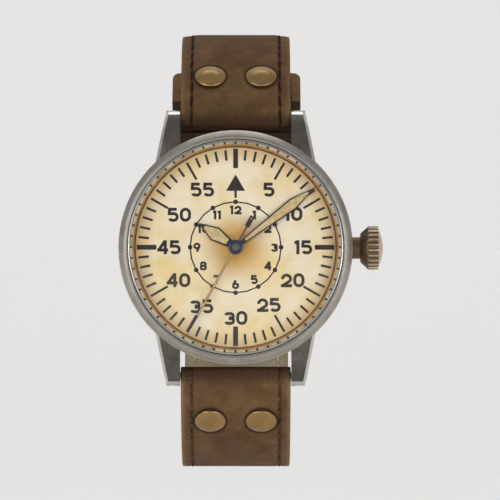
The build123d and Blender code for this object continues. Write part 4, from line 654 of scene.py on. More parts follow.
def take(
    bm: BMesh,
    name: str,
    body: str,
    finishes: Sequence[Finish],
    slot: str,
    place: Matrix = WATCH,
    replaces: Sequence[str] = (),
    smooth: float = 32.0,
    recalc: bool = True,
) -> None:
    """Turn a bmesh into a finished piece that rides on a body of the watch.

    Args:
        bm: The mesh, in millimetres in its own frame.
        name: The piece's name.
        body: The body it rides on.
        finishes: Its finishes, in the order of its faces' material numbers.
        slot: The material slot of the record that it belongs to.
        place: The matrix from its own frame to the row frame.
        replaces: The solids that it stands for.
        smooth: The angle in degrees past which an edge is sharp.
        recalc: Whether its normals are worked out again.
    """
    bmesh.ops.transform(bm, matrix=place, verts=bm.verts)
    if recalc:
        bmesh.ops.recalc_face_normals(bm, faces=bm.faces)
    mesh = settled(bm, name)
    mesh.shade_smooth()
    mesh.set_sharp_from_angle(angle=radians(smooth))
    for finish in finishes:
        mesh.materials.append(finish.material())
    piece = linked(name, mesh)
    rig.ride(piece, body)
    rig.slot(piece, slot)
    if replaces:
        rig.replaces(piece, *replaces)
    log.info("%s: %d faces", name, len(mesh.polygons))


def dress(node: str, finish: Finish) -> None:
    """Give a solid that stays in view its finish."""
    for holder in frame["nodes"][node].material_slots:
        holder.material = finish.material()


def turned(bm: BMesh, outline: Iterable[Point], steps: int = 160, closed: bool = True) -> None:
    """Turn an outline of (radius, height) points about the z axis.

    Args:
        bm: The mesh that the ring or disc is added to.
        outline: The corners of the outline.
        steps: How many flats the full turn has.
        closed: Whether the outline is a ring's, or runs from axis to axis.
    """
    verts = [bm.verts.new((radius, 0, height)) for radius, height in outline]
    edges = [bm.edges.new(pair) for pair in zip(verts, verts[1:] + verts[:1] * closed)]
    bmesh.ops.spin(
        bm,
        geom=[*verts, *edges],
        cent=(0, 0, 0),
        axis=(0, 0, 1),
        angle=2 * pi,
        steps=steps,
        use_merge=True,
    )
    bmesh.ops.remove_doubles(bm, verts=bm.verts, dist=1e-4)


def draw_out(bm: BMesh, geom: Sequence[Any], way: Sequence[float]) -> list[BMVert]:
    """Extrude faces or edges, and move what was made.

    Args:
        bm: The mesh.
        geom: The faces, or the edges.
        way: How far the new ones move.

    Returns:
        The new vertices.
    """
    if isinstance(geom[0], BMEdge):
        grown = bmesh.ops.extrude_edge_only(bm, edges=geom)
    else:
        grown = bmesh.ops.extrude_face_region(bm, geom=geom, use_keep_orig=True)
    verts = [g for g in grown["geom"] if isinstance(g, BMVert)]
    bmesh.ops.translate(bm, verts=verts, vec=way)
    return verts


def cut(bm: BMesh, place: Sequence[float], normal: Sequence[float], clear: bool = False) -> list[BMEdge]:
    """Cut a mesh along a plane.

    Args:
        bm: The mesh.
        place: A point of the plane.
        normal: The plane's direction.
        clear: Whether what lies past the plane goes.

    Returns:
        The edges that lie in the plane.
    """
    geom = [*bm.verts, *bm.edges, *bm.faces]
    made = bmesh.ops.bisect_plane(
        bm, geom=geom, dist=1e-5, plane_co=place, plane_no=normal, clear_outer=clear
    )
    return [g for g in made["geom_cut"] if isinstance(g, BMEdge)]


def soften(
    bm: BMesh, edges: Iterable[BMEdge], width: float, segments: int = 2, material: int = -1
) -> None:
    """Round edges off.

    Args:
        bm: The mesh.
        edges: The edges.
        width: How far the rounding reaches from each edge, in mm.
        segments: How many flats it has.
        material: The number of its finish, or -1 for that of the faces beside it.
    """
    bmesh.ops.bevel(
        bm,
        geom=list(edges),
        offset=width,
        offset_type="OFFSET",
        affect="EDGES",
        segments=segments,
        profile=0.5,
        material=material,
        clamp_overlap=True,
    )


def sharp_edges(bm: BMesh, angle: float) -> list[BMEdge]:
    """The edges at which two faces meet at more than an angle in degrees."""
    return [e for e in bm.edges if e.is_manifold and e.calc_face_angle(0) > radians(angle)]


def plate(
    bm: BMesh, outline: Sequence[Point], low: float, high: float, material: int = 0, rounding: float = 0.0
) -> None:
    """Add a flat plate between two levels.

    Args:
        bm: The mesh that the plate is added to.
        outline: The corners of the plate in x and y.
        low: The level of its back.
        high: The level of its front.
        material: The number of its finish.
        rounding: The width of the bevel round its front.
    """
    face = bm.faces.new([bm.verts.new((x, y, low)) for x, y in outline])
    face.material_index = material
    front = set(draw_out(bm, [face], (0, 0, high - low)))
    for side in {f for v in front for f in v.link_faces}:
        side.material_index = material
    if rounding:
        soften(bm, [e for e in bm.edges if front.issuperset(e.verts)], rounding)


def clock(radius: float, turn: float) -> Point:
    """The point at a radius and a clock bearing in degrees from twelve."""
    return radius * sin(radians(turn)), radius * cos(radians(turn))


def disc(bm: BMesh, radius: float, low: float, high: float, material: int, rounding: float) -> None:
    """Add a round plate with a rounded front edge, whose levels, finish and bevel are as a plate's."""
    plate(bm, [clock(radius, -9 * step) for step in range(40)], low, high, material, rounding)


def softened_copy(
    node: str,
    width: float,
    angle: float = 30.0,
    edit: Callable[[BMesh], None] | None = None,
    material: int = -1,
) -> BMesh:
    """Copy a solid's mesh in mm, merge its triangles and round its sharp edges.

    Args:
        node: The solid's name.
        width: The width of the rounding in mm.
        angle: The least angle in degrees that counts as an edge.
        edit: What else is done to the mesh before the edges are rounded.
        material: The number of the roundings' finish, or -1 for that of the faces beside them.

    Returns:
        The new mesh, in the row frame and in mm.
    """
    bm = bmesh.new()
    bm.from_mesh(frame["nodes"][node].data)
    bmesh.ops.scale(bm, vec=(1 / MM, 1 / MM, 1 / MM), verts=bm.verts)
    bmesh.ops.remove_doubles(bm, verts=bm.verts, dist=1e-3)
    bmesh.ops.dissolve_limit(
        bm, angle_limit=radians(0.6), use_dissolve_boundaries=False, verts=bm.verts, edges=bm.edges
    )
    for face in bm.faces:
        face.material_index = 0
    if edit:
        edit(bm)
    soften(bm, sharp_edges(bm, angle), width, material=material)
    return bm


# ---------------------------------------------------------------- dial


def heading_way(heading: float) -> Vector:
    """The direction of a heading in degrees, turned left from the x axis."""
    return Vector((cos(radians(heading)), sin(radians(heading)), 0))


class Pen:
    """A flat nib that draws strokes of one width as faces, by extruding and spinning its edge."""

    def __init__(self, bm: BMesh, width: float) -> None:
        """Take up a nib.

        Args:
            bm: The mesh that the strokes are added to.
            width: The width of the stroke.
        """
        self.bm = bm
        self.width = width
        self.spot = Vector((0, 0, 0))
        self.heading = 0.0
        self.nib: BMEdge | None = None

    def start(self, x: float, y: float, heading: float) -> "Pen":
        """Set the nib down.

        Args:
            x: Where, across.
            y: Where, upwards.
            heading: The heading in degrees that it faces.

        Returns:
            The pen.
        """
        self.spot, self.heading = Vector((x, y, 0)), heading
        side = heading_way(heading + 90) * self.width / 2
        ends = [self.bm.verts.new(self.spot - side), self.bm.verts.new(self.spot + side)]
        self.nib = self.bm.edges.new(ends)
        return self

    def line(self, length: float) -> "Pen":
        """Draw straight on for a length.

        Args:
            length: How far.

        Returns:
            The pen.
        """
        along = heading_way(self.heading) * length
        self.nib = self.bm.edges.get(draw_out(self.bm, [self.nib], along))
        self.spot = self.spot + along
        return self

    def arc(self, radius: float, turn: float) -> "Pen":
        """Draw a bend.

        Args:
            radius: The radius of its middle line.
            turn: How far it turns in degrees, to the left above zero and to the right below it.

        Returns:
            The pen.
        """
        hand = 1 if turn > 0 else -1
        centre = self.spot + heading_way(self.heading + 90) * radius * hand
        made = bmesh.ops.spin(
            self.bm,
            geom=[self.nib, *self.nib.verts],
            cent=centre,
            axis=(0, 0, 1),
            angle=radians(turn),
            steps=max(3, round(abs(turn) / 15)),
        )["geom_last"]
        self.nib = next(g for g in made if isinstance(g, BMEdge))
        self.spot = centre + Matrix.Rotation(radians(turn), 3, "Z") @ (self.spot - centre)
        self.heading += turn
        return self

    def reach(self, x: float, y: float, past: float = 0.0) -> "Pen":
        """Draw a fresh straight stroke from here to a point.

        Args:
            x: Where it ends, across.
            y: Where it ends, upwards.
            past: How far it runs on past the point.

        Returns:
            The pen.
        """
        ahead = Vector((x, y, 0)) - self.spot
        heading = degrees(atan2(ahead.y, ahead.x))
        return self.start(self.spot.x, self.spot.y, heading).line(ahead.length + past)


@dataclass
class Figures:
    """Upright geometric numerals with flat ends, drawn by a pen. The shares of a digit's height and
    width that its strokes take are typed where they are drawn.
    """

    height: float
    stroke: float
    aspect: float = 0.8
    narrow: float = 0.42
    spacing: float = 0.38

    def width_of(self, digit: str) -> float:
        """The width of a digit."""
        return self.height * (self.narrow if digit == "1" else self.aspect)

    def digit(self, bm: BMesh, digit: str) -> None:
        """Draw a digit with its foot at the origin, centred across.

        Args:
            bm: The mesh that it is drawn in.
            digit: Which digit.
        """
        s = self.stroke
        h = self.height - s
        w = self.height * self.aspect - s
        half = w / 2
        pen = Pen(bm, s)
        if digit == "0":
            pen.start(half, half, 90).line(h - w).arc(half, 180).line(h - w).arc(half, 180)
        elif digit == "1":
            stem = 0.06 * self.height
            pen.start(stem, -s / 2, 90).line(self.height)
            pen.start(stem, h + 0.02 * self.height, 205).line(0.26 * self.height)
        elif digit == "2":
            bend = half * 0.98
            pen.start(-bend, h - bend - 0.04 * h, 90).arc(bend, -206)
            pen.reach(-half, 0, s * 0.2)
            pen.start(-half - s / 2, 0, 0).line(w + s)
        elif digit == "3":
            top, low = h * 0.235, h * 0.265
            pen.start(-half * 0.94, h - top, 62).arc(top, -62).line(half * 0.94 + half - 2 * top)
            pen.arc(top, -180).line(half - top + 0.05 * w)
            pen.start(-0.02 * w, h / 2 * 1.06, 0).line(half - low + 0.02 * w).arc(low, -180)
            pen.line(w - 2 * low).arc(low, -62)
        elif digit == "4":
            stem, bar = 0.3 * w, 0.25 * h
            pen.start(stem, -s / 2, 90).line(self.height)
            pen.start(stem - 0.1 * s, h + s * 0.2, 0).reach(-half, bar, s * 0.3)
            pen.start(-half - s / 2, bar, 0).line(w + 0.9 * s)
        elif digit == "5":
            bowl, stem = h * 0.3, half * 0.84
            pen.start(half * 0.9, h, 180).line(w * 0.9)
            pen.start(-stem, h + s / 2, -94).line(h - 2 * bowl + s)
            pen.start(-stem - s / 2, 2 * bowl, 0).line(stem + half - bowl + s / 2)
            pen.arc(bowl, -180).line(w - 2 * bowl).arc(bowl, -58)
        elif digit in "69":
            bowl, lean = 0.31 * h, 65
            pen.start(bowl - half, 0, 0)
            for _ in range(2):
                pen.line(w - 2 * bowl).arc(bowl, 180)
            foot = Vector((bowl - half, bowl, 0)) + heading_way(lean + 90) * bowl
            pen.start(foot.x, foot.y, lean).line((h + s / 2 - foot.y) / sin(radians(lean)))
        elif digit == "7":
            pen.start(-half - s / 2, h, 0).line(w + s)
            pen.start(half - 0.1 * s, h + s * 0.3, 0).reach(-0.24 * w, -s / 2)
        elif digit == "8":
            top, low = h * 0.24, h * 0.26
            for radius, foot, reach in ((top, 2 * low, half * 0.9), (low, 0, half)):
                pen.start(radius - reach, foot, 0)
                for _ in range(2):
                    pen.line(2 * (reach - radius)).arc(radius, 180)
        if digit == "9":
            bmesh.ops.rotate(bm, cent=(0, h / 2, 0), matrix=Matrix.Rotation(pi, 3, "Z"), verts=bm.verts)
        bmesh.ops.translate(bm, vec=(0, s / 2, 0), verts=bm.verts)

    def number(self, bm: BMesh, text: str, middle: Point) -> None:
        """Add a number, upright, centred on a point.

        Args:
            bm: The mesh that it joins.
            text: The number's digits.
            middle: The place of its centre.
        """
        gap = self.spacing * self.stroke
        x = middle[0] - (sum(map(self.width_of, text)) + gap * (len(text) - 1)) / 2
        for digit in text:
            part = bmesh.new()
            self.digit(part, digit)
            wide = self.width_of(digit)
            foot = (x + wide / 2, middle[1] - self.height / 2, 0)
            bmesh.ops.translate(part, vec=foot, verts=part.verts)
            absorb(bm, part)
            x += wide + gap


@dataclass
class Dial:
    """The dial and all that is printed on it. A mark has an inner radius, outer radius and width."""

    top: float = 9.3
    # The print floats a hair above the dial's face, so that the two don't flicker
    lift: float = 0.002
    ink: float = 0.03
    quarter_bar: Triple = (14.12, 17.6, 0.86)
    five_mark: Triple = (13.95, 17.4, 0.42)
    minute_mark: Triple = (15.55, 17.4, 0.42)
    triangle_tip: float = 13.0
    triangle_foot: float = 10.06
    triangle_width: float = 3.4
    stem_foot: float = 8.8
    stem_overlap: float = 0.3
    stem_width: float = 0.42
    hour_ring: float = 8.1
    ring_line: float = 0.25
    dot_radius: float = 0.42
    large: Figures = field(default_factory=lambda: Figures(2.5, 0.54))
    small: Figures = field(default_factory=lambda: Figures(1.6, 0.41))
    minute_radius: float = 11.87
    minute_radii: dict[int, float] = field(
        default_factory=lambda: {15: 12.05, 20: 11.75, 30: 12.6, 35: 12.15, 40: 11.75, 50: 11.6}
    )
    hour_radius: float = 6.65
    hour_radii: dict[int, float] = field(default_factory=lambda: {3: 6.9, 9: 6.9})

    def print_marks(self) -> BMesh:
        """Draw the marks, the triangle, the ring of hours and the numbers.

        Returns:
            The print, as flat faces.
        """
        bm = bmesh.new()
        for minute in range(60):
            fifth = self.minute_mark if minute % 5 else self.five_mark
            near, far, width = fifth if minute % 15 else self.quarter_bar
            Pen(bm, width).start(*clock(near, minute * 6), 90 - minute * 6).line(far - near)
        half, foot = self.triangle_width / 2, self.triangle_foot
        corners = [(0, self.triangle_tip, 0), (-half, foot, 0), (half, foot, 0)]
        bm.faces.new([bm.verts.new(corner) for corner in corners])
        Pen(bm, self.stem_width).start(0, self.stem_foot, 90).line(foot + self.stem_overlap - self.stem_foot)
        ring = self.hour_ring
        Pen(bm, self.ring_line).start(ring, 0, 90).arc(ring, 180).arc(ring, 180)
        for hour in range(12):
            place = Matrix.Translation((*clock(ring, hour * 30), 0))
            bmesh.ops.create_circle(bm, cap_ends=True, segments=20, radius=self.dot_radius, matrix=place)
        for minute in range(5, 60, 5):
            radius = self.minute_radii.get(minute, self.minute_radius)
            self.large.number(bm, str(minute), clock(radius, minute * 6))
        for hour in range(1, 13):
            radius = self.hour_radii.get(hour, self.hour_radius)
            self.small.number(bm, str(hour), clock(radius, hour * 30))
        return bm

    def build(self) -> None:
        """Print the dial and paint it."""
        bm = self.print_marks()
        draw_out(bm, bm.faces[:], (0, 0, self.ink))
        bmesh.ops.translate(bm, verts=bm.verts, vec=(0, 0, self.top + self.lift))
        take(bm, "dial_print", "case", [DIAL_INK], "hand_paint")
        dress("dial", DIAL_PAINT)


# ---------------------------------------------------------------- hands


@dataclass
class Hand:
    """A flat hand: a dark frame with a plate of luminous paint laid in it, and a round blued hub."""

    name: str
    body: str
    bearing: float
    level: float
    thickness: float
    frame_line: list[Point]
    lume_line: list[Point]
    hub_radius: float
    replaces: str
    lume: Finish = HAND_LUME
    hub_rise: float = 0.03

    def outline(self, stations: Sequence[Point]) -> list[Point]:
        """Lay an outline along the hand's bearing.

        Args:
            stations: The distances from the hub, each with the half width there.

        Returns:
            The corners in x and y.
        """
        run = [*stations, *[(distance, -half) for distance, half in reversed(stations)]]
        turn = radians(90 - self.bearing)
        return [(d * cos(turn) - half * sin(turn), d * sin(turn) + half * cos(turn)) for d, half in run]

    def mesh(self) -> BMesh:
        """Make the frame, the luminous plate and the hub.

        Returns:
            The hand.
        """
        bm = bmesh.new()
        high = self.level + self.thickness
        plate(bm, self.outline(self.frame_line), self.level, high, 0, 0.03)
        plate(bm, self.outline(self.lume_line), high - 0.02, high + 0.02, 1, 0.015)
        disc(bm, self.hub_radius, self.level, high + self.hub_rise, 2, 0.04)
        return bm

    def build(self) -> None:
        """Make the hand and put it on its arbor."""
        finishes = [HAND_DARK, self.lume, BLUED, STEM_BROWN, CAP_GREEN]
        take(self.mesh(), self.name, self.body, finishes, "hand_paint", replaces=[self.replaces])


@dataclass
class SecondsHand(Hand):
    """The sweep hand: a thin needle with a weighted tail and a domed cap."""

    lume: Finish = GOLD_LUME
    hub_rise: float = 0.02
    # The weight's near and far end and its width, the stem's end by the hub and its half width,
    # and the slit's two ends, from the weight's far end, with its half width
    tail: Triple = (4.1, 6.3, 0.87)
    stem: Point = (1.0, 0.18)
    slit: Triple = (0.35, 0.65, 0.12)
    cap_radius: float = 0.68
    cap_top: float = 10.84

    def mesh(self) -> BMesh:
        """Make the needle, the tail with its weight, the hub and the cap.

        Returns:
            The hand.
        """
        bm = super().mesh()
        low, high = self.level, self.level + self.thickness
        near, far, width = self.tail
        stem_end, stem_half = self.stem
        slit_start, slit_end, slit_half = self.slit
        stem = [(-near, stem_half), (-stem_end, stem_half)]
        weight = [(-far, width / 2), (-near, width / 2)]
        slit = [(slit_start - far, slit_half), (slit_end - far, slit_half)]
        plate(bm, self.outline(stem), low, high, 3, 0.02)
        plate(bm, self.outline(weight), low, high + 0.01, 0, 0.03)
        plate(bm, self.outline(slit), high, high + 0.03, 1)
        disc(bm, self.cap_radius, high, self.cap_top, 4, 0.12)
        return bm


# Each hand's name, body, bearing in degrees from twelve, level and thickness, then the outlines of
# its frame and its luminous plate, its hub's radius and the solid that it stands for
HANDS = (
    Hand(
        "hour_pointer", "hours", 303, 9.68, 0.14,
        [(0, 0.5), (4.4, 1.35), (7.8, 0.08)],
        [(1.75, 0.5), (4.4, 1.09), (6.6, 0.27)], 1.27, "hour_hand",
    ),
    Hand(
        "minute_pointer", "minutes", 53, 10.08, 0.14,
        [(0, 0.35), (12.7, 1.05), (17.7, 0.08)],
        [(2.2, 0.22), (12.7, 0.8), (16.2, 0.2)], 1.2, "minute_hand",
    ),
    SecondsHand(
        "seconds_pointer", "seconds", 209, 10.52, 0.1,
        [(0, 0.18), (3.6, 0.19), (14.0, 0.22), (18.0, 0.07)],
        [(1.4, 0.12), (14.0, 0.15)], 1.3, "seconds_hand",
    ),
)


# ---------------------------------------------------------------- case


def cap_arc(rim: float, foot: float, crown: float, shares: Iterable[float]) -> list[Point]:
    """The side of a domed cap.

    Args:
        rim: Its radius.
        foot: The level of its rim.
        crown: The level of its top.
        shares: Where the points lie, as shares of the radius.

    Returns:
        The points as (radius, height).
    """
    rise = crown - foot
    ball = (rim * rim + rise * rise) / (2 * rise)
    return [(r, crown - ball + sqrt(ball * ball - r * r)) for r in (rim * share for share in shares)]


@dataclass
class Case:
    """The middle case with its lugs, the bezel, the crystal, the dial ring and the crown."""

    edge: float = 0.12
    lug_line: float = 20.9
    strap_gap: float = 9.95
    tip_start: float = 23.9
    flute: Point = (3.2, 3.8)
    bezel_bore: float = 19.16
    bezel_radius: float = 19.84
    bezel_foot: float = 9.9
    bezel_top: float = 11.15
    groove: float = 0.14
    lip_outer: float = 19.28
    lip_radius: float = 18.88
    lip_top: float = 11.6
    seat: float = 10.7
    crystal_radius: float = 18.46
    crystal_inner: float = 18.16
    crystal_foot: float = 10.75
    crystal_edge: float = 11.5
    crystal_crown: float = 13.0
    crystal_wall: float = 1.15
    wall_line: tuple[Point, ...] = (
        (17.8, 9.3), (18.1, 9.3), (18.1, 9.45), (18.59, 9.45), (18.59, 10.7), (18.42, 10.7), (18.3, 10.5),
    )
    minute_line: tuple[Point, ...] = ((18.47, 10.72), (18.89, 10.72), (18.89, 11.5), (18.47, 11.42))

    def sort_case_faces(self, bm: BMesh) -> None:
        """Mark the lugs' faces as brushed, and their chamfers and tips as polished.

        Args:
            bm: The case's mesh, in mm.
        """
        for face in bm.faces:
            middle, normal = face.calc_center_median(), face.normal
            if abs(middle.x) < self.strap_gap or hypot(middle.x, middle.z) < self.lug_line:
                continue
            chamfer = normal.y < -0.25 and abs(normal.x) > 0.35
            tip = abs(middle.z) > self.tip_start and abs(normal.x) < 0.9 and normal.y > -0.97
            face.material_index = 2 if chamfer or tip else 1

    def darken_flutes(self, bm: BMesh) -> None:
        """Mark the floors of the crown's flutes for the darker steel that paints shade into them.

        Args:
            bm: The crown's mesh, in mm.
        """
        low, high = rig.box("crown")
        axis = (low[1] + high[1]) / 2 / MM
        for face in bm.faces:
            middle = face.calc_center_median()
            out = hypot(middle.y - axis, middle.z)
            if abs(face.normal.x) < 0.2 and self.flute[0] < out < self.flute[1]:
                face.material_index = 1

    def bezel(self) -> None:
        """Turn the bezel: a sloping ring, a dark groove and a raised lip."""
        bm = bmesh.new()
        outer, lip, inner = self.bezel_radius, self.lip_outer, self.lip_radius
        top, crest = self.bezel_top, self.lip_top
        groove = lip + self.groove
        ring = [(outer, self.bezel_foot), (outer, top - 0.16), (outer - 0.06, top - 0.04), (outer - 0.16, top)]
        floor = [(groove, top - 0.05), (lip, top - 0.05)]
        rim = [(lip, crest - 0.16), (lip - 0.05, crest - 0.05), (lip - 0.16, crest)]
        bore = [(inner + 0.06, crest), (inner, crest - 0.06), (inner, self.seat), (self.bezel_bore, self.seat)]
        turned(bm, [(self.bezel_bore, self.bezel_foot), *ring, *floor, *rim, *bore])
        for face in bm.faces:
            middle = face.calc_center_median()
            if lip - 0.01 < hypot(middle.x, middle.y) < groove + 0.02 and middle.z < top + 0.15:
                face.material_index = 1
        take(bm, "bezel_ring", "case", [BEZEL_STEEL, GROOVE_STEEL], "bezel_steel", replaces=["bezel"])

    def crystal(self) -> None:
        """Turn the domed crystal as one closed shell."""
        bm = bmesh.new()
        shares = [step / 14 for step in range(14, 0, -1)]
        under = self.crystal_crown - self.crystal_wall
        outer = cap_arc(self.crystal_radius, self.crystal_edge, self.crystal_crown, reversed(shares))
        inner = cap_arc(self.crystal_inner, self.crystal_foot, under, shares)
        corner = (self.crystal_radius, self.crystal_foot)
        turned(bm, [(0, self.crystal_crown), *outer, corner, *inner, (0, under)], 128, closed=False)
        take(bm, "crystal_dome", "case", [CRYSTAL], "crystal_glass", replaces=["crystal"], smooth=50)

    def rings(self) -> None:
        """Turn the dial's sloping wall, and above it the ring that carries the painted reflection of the dial's minute
        marks in the crystal's edge.
        """
        for outline, name, finish, slot, node in (
            (self.wall_line, "dial_wall", RING_BRASS, "ring_brass", "dial_ring"),
            # The crystal's seal is drawn as a ring painted with the reflection of the dial's marks
            (self.minute_line, "minute_ring", MINUTE_RING, "seal_rubber", "crystal_gasket"),
        ):
            bm = bmesh.new()
            turned(bm, outline)
            take(bm, name, "case", [finish], slot, replaces=[node])

    def build(self) -> None:
        """Make every piece of the case."""
        steels = [CASE_STEEL, LUG_STEEL, EDGE_STEEL]
        shell = softened_copy("case_middle", self.edge, 28, self.sort_case_faces, 2)
        take(shell, "case_shell", "case", steels, "case_steel", ROW, ["case_middle"], recalc=False)
        self.bezel()
        self.crystal()
        self.rings()
        cap = softened_copy("crown", 0.07, 24, self.darken_flutes)
        steels = [CROWN_STEEL, FLUTE_STEEL]
        take(cap, "crown_cap", "crown_and_stem", steels, "crown_steel", ROW, ["crown"], recalc=False)
        back = softened_copy("case_back", 0.15)
        take(back, "back_cover", "case", [CASE_STEEL], "case_steel", ROW, ["case_back"], recalc=False)
        dress("back_gasket", RUBBER)
        # The tube under the crown takes the darker steel, as painted shade
        dress("crown_tube", FLUTE_STEEL)
        dress("crown_gasket", RUBBER)


# ---------------------------------------------------------------- strap


@dataclass
class Loop:
    """The curve that the strap follows from the lugs round the wrist."""

    bar_y: float = -3.8
    bar_z: float = 23.05
    leave: float = 32.5
    front_radius: float = 32.4
    middle_y: float = field(init=False)
    front_z: float = field(init=False)
    front_run: float = field(init=False)
    back_radius: float = field(init=False)

    def __post_init__(self) -> None:
        """Work out the arcs' centres and where they meet."""
        self.middle_y = self.bar_y + self.front_radius * cos(radians(self.leave))
        self.front_z = self.bar_z - self.front_radius * sin(radians(self.leave))
        self.front_run = self.front_radius * radians(90 - self.leave)
        self.back_radius = self.front_z + self.front_radius

    def turn(self, run: float) -> float:
        """How far the strap has turned, in radians.

        Args:
            run: The place along the strap, from the spring bar.

        Returns:
            The turn.
        """
        if run <= self.front_run:
            return radians(self.leave) + run / self.front_radius
        return pi / 2 + (run - self.front_run) / self.back_radius

    def out(self, run: float, side: int) -> Vector:
        """The direction out of the strap's outer face, at a run on one of its halves."""
        return Vector((0, -cos(self.turn(run)), side * sin(self.turn(run))))

    def point(self, x: float, run: float, rise: float, side: int) -> Vector:
        """Bend a point of the flat strap onto the loop.

        Args:
            x: Its place across the strap.
            run: Its place along the strap, from the spring bar.
            rise: Its height above the middle of the strap's thickness.
            side: 1 for the half at twelve o'clock, -1 for the half at six.

        Returns:
            The point in the row frame, in mm.
        """
        front = run <= self.front_run
        radius = self.front_radius if front else self.back_radius
        centre = Vector((x, self.middle_y, side * self.front_z if front else 0.0))
        return centre + self.out(run, side) * (radius + rise)


LOOP = Loop()


def reshape(
    bm: BMesh, shape: Callable[..., Vector], flat: Callable[..., Sequence[float]] = lambda *spot: spot
) -> None:
    """Keep each point's flat place as the flat map, and move the point.

    Args:
        bm: The flat mesh: x across, y along, z through.
        shape: Gives each point's new place.
        flat: Gives what the map says of it.
    """
    layer = bm.verts.layers.float_vector.new("flat")
    for vert in bm.verts:
        spot = tuple(vert.co)
        vert[layer] = flat(*spot)
        vert.co = shape(*spot)


@dataclass
class StrapHalf:
    """One half of the strap: leather, lining, stitches, all moulded to the loop."""

    side: int
    body: str
    prefix: str
    end: float
    lining: Point
    leather: Finish
    inside: Finish
    thread: Finish
    inside_thread: Finish
    pad: Triple = (1.2, 10.0, 27.0)
    pocket_end: float = 58.9
    round_end: bool = False
    slot: Point | None = None
    hole_runs: tuple[float, ...] = ()
    width: float = 19.8
    thickness: float = 3.4
    pad_rise: float = 0.75
    pad_edge: float = 6.9
    pad_fall: float = 3.0
    pad_loss: float = 0.62
    stitch_line: float = 7.95
    stitch_pitch: float = 3.1
    stitch_length: float = 2.6
    stitch_radius: float = 0.2
    channel_width: float = 0.55
    channel_depth: float = 0.16
    tail_length: float = 10.0
    tail_share: float = 0.42
    hole_radius: float = 1.0
    cross_cuts: tuple[float, ...] = (2.5, 5.0, 6.6, 7.4, 8.5, 9.2)

    def pad_height(self, x: float, run: float) -> float:
        """How much the padding lifts the leather, full between the stitches and less beyond.

        Args:
            x: The place across the strap.
            run: The place along it.

        Returns:
            The lift in mm.
        """
        start, crest, end = self.pad
        if run <= start or run >= end:
            along = 0.0
        elif run < crest:
            along = sin((run - start) / (crest - start) * pi / 2)
        else:
            along = cos((run - crest) / (end - crest) * pi / 2) ** 1.3
        out = min(1.0, max(0.0, (abs(x) - self.pad_edge) / self.pad_fall))
        return self.pad_rise * along * (1 - self.pad_loss * out * out * (3 - 2 * out))

    def mould(self, x: float, run: float, rise: float) -> Vector:
        """Shape a point of the flat strap: padding, stitch channels and round ends.

        Args:
            x: Its place across the strap.
            run: Its place along the strap.
            rise: Its height in the flat block.

        Returns:
            The point in the row frame, in mm.
        """
        half = self.thickness / 2
        over = max(-run, run - (self.end - half) if self.round_end else 0.0)
        share = sqrt(1 - min(1.0, over / half) ** 2) if over > 0 else 1.0
        lifted = rise
        if rise > 0:
            lifted = rise * (half + self.pad_height(x, run)) / half
            if rise > half * 0.8 and run > -0.9:
                off = abs(abs(x) - self.stitch_line)
                lifted -= self.channel_depth * max(0.0, 1 - off / self.channel_width)
        return LOOP.point(x, run, lifted * share, self.side)

    def strip(self, outline: Sequence[Point], width: float) -> BMesh:
        """Make a flat strip.

        Args:
            outline: Its corners seen from the side, as runs and rises.
            width: How far the outline is drawn out across the strap.

        Returns:
            The strip.
        """
        bm = bmesh.new()
        face = bm.faces.new([bm.verts.new((-width / 2, run, rise)) for run, rise in outline])
        draw_out(bm, [face], (width, 0, 0))
        bmesh.ops.recalc_face_normals(bm, faces=bm.faces)
        return bm

    def block(self, start: float, end: float, low: float, high: float, width: float) -> BMesh:
        """A flat strip between two runs and two rises."""
        return self.strip([(start, low), (end, low), (end, high), (start, high)], width)

    def is_rim(self, edge: BMEdge) -> bool:
        """Whether an edge lies between a strip's flat faces and its sides."""
        rises = [vert.co.z for vert in edge.verts]
        flat = abs(rises[0] - rises[1]) < 1e-6 and abs(rises[0]) > self.thickness / 2 - 0.01
        return flat and edge.is_manifold and edge.calc_face_angle(0) > 1

    def point_tail(self, bm: BMesh, end: float, inset: float) -> None:
        """Cut the corners off the tail.

        Args:
            bm: The flat strip.
            end: The run of its tip.
            inset: How far inside the leather's outline the cut lies.
        """
        half = self.width / 2 - inset
        slope = Vector((self.tail_length, half * (1 - self.tail_share), 0)).normalized()
        for side in (1, -1):
            place = (side * half, end - self.tail_length, 0)
            rim = cut(bm, place, (side * slope.x, slope.y, 0), clear=True)
            bmesh.ops.contextual_create(bm, geom=rim)

    def slice_up(self, bm: BMesh, start: float, end: float, pitch: float) -> None:
        """Divide a strip along its length, so that it can bend, and across it for the padding.

        Args:
            bm: The flat strip.
            start: The run where the cuts start.
            end: The run where they end.
            pitch: The distance between them.
        """
        count = int((end - start) / pitch)
        for step in range(1, count):
            cut(bm, (0, start + step * (end - start) / count, 0), (0, 1, 0))
        across = sorted((*self.cross_cuts, self.stitch_line))
        for x in (0, *(side * x for x in across for side in (1, -1))):
            cut(bm, (x, 0, 0), (1, 0, 0))

    def carve(self, bm: BMesh, cutters: Sequence[BMesh]) -> BMesh:
        """Cut shapes out of a flat strip.

        Args:
            bm: The strip.
            cutters: The shapes that are taken away from it.

        Returns:
            The strip with the cuts, as a new mesh.
        """
        blank = linked("blank", settled(bm, "blank"))
        tools = [linked("cutter", settled(cutter, "cutter")) for cutter in cutters]
        for tool in tools:
            step = blank.modifiers.new("cut", "BOOLEAN")
            step.operation, step.solver, step.object = "DIFFERENCE", "EXACT", tool
        bpy.context.view_layer.update()
        result = bmesh.new()
        result.from_mesh(blank.evaluated_get(bpy.context.evaluated_depsgraph_get()).to_mesh())
        for used in (blank, *tools):
            mesh = used.data
            bpy.data.objects.remove(used)
            bpy.data.meshes.remove(mesh)
        return result

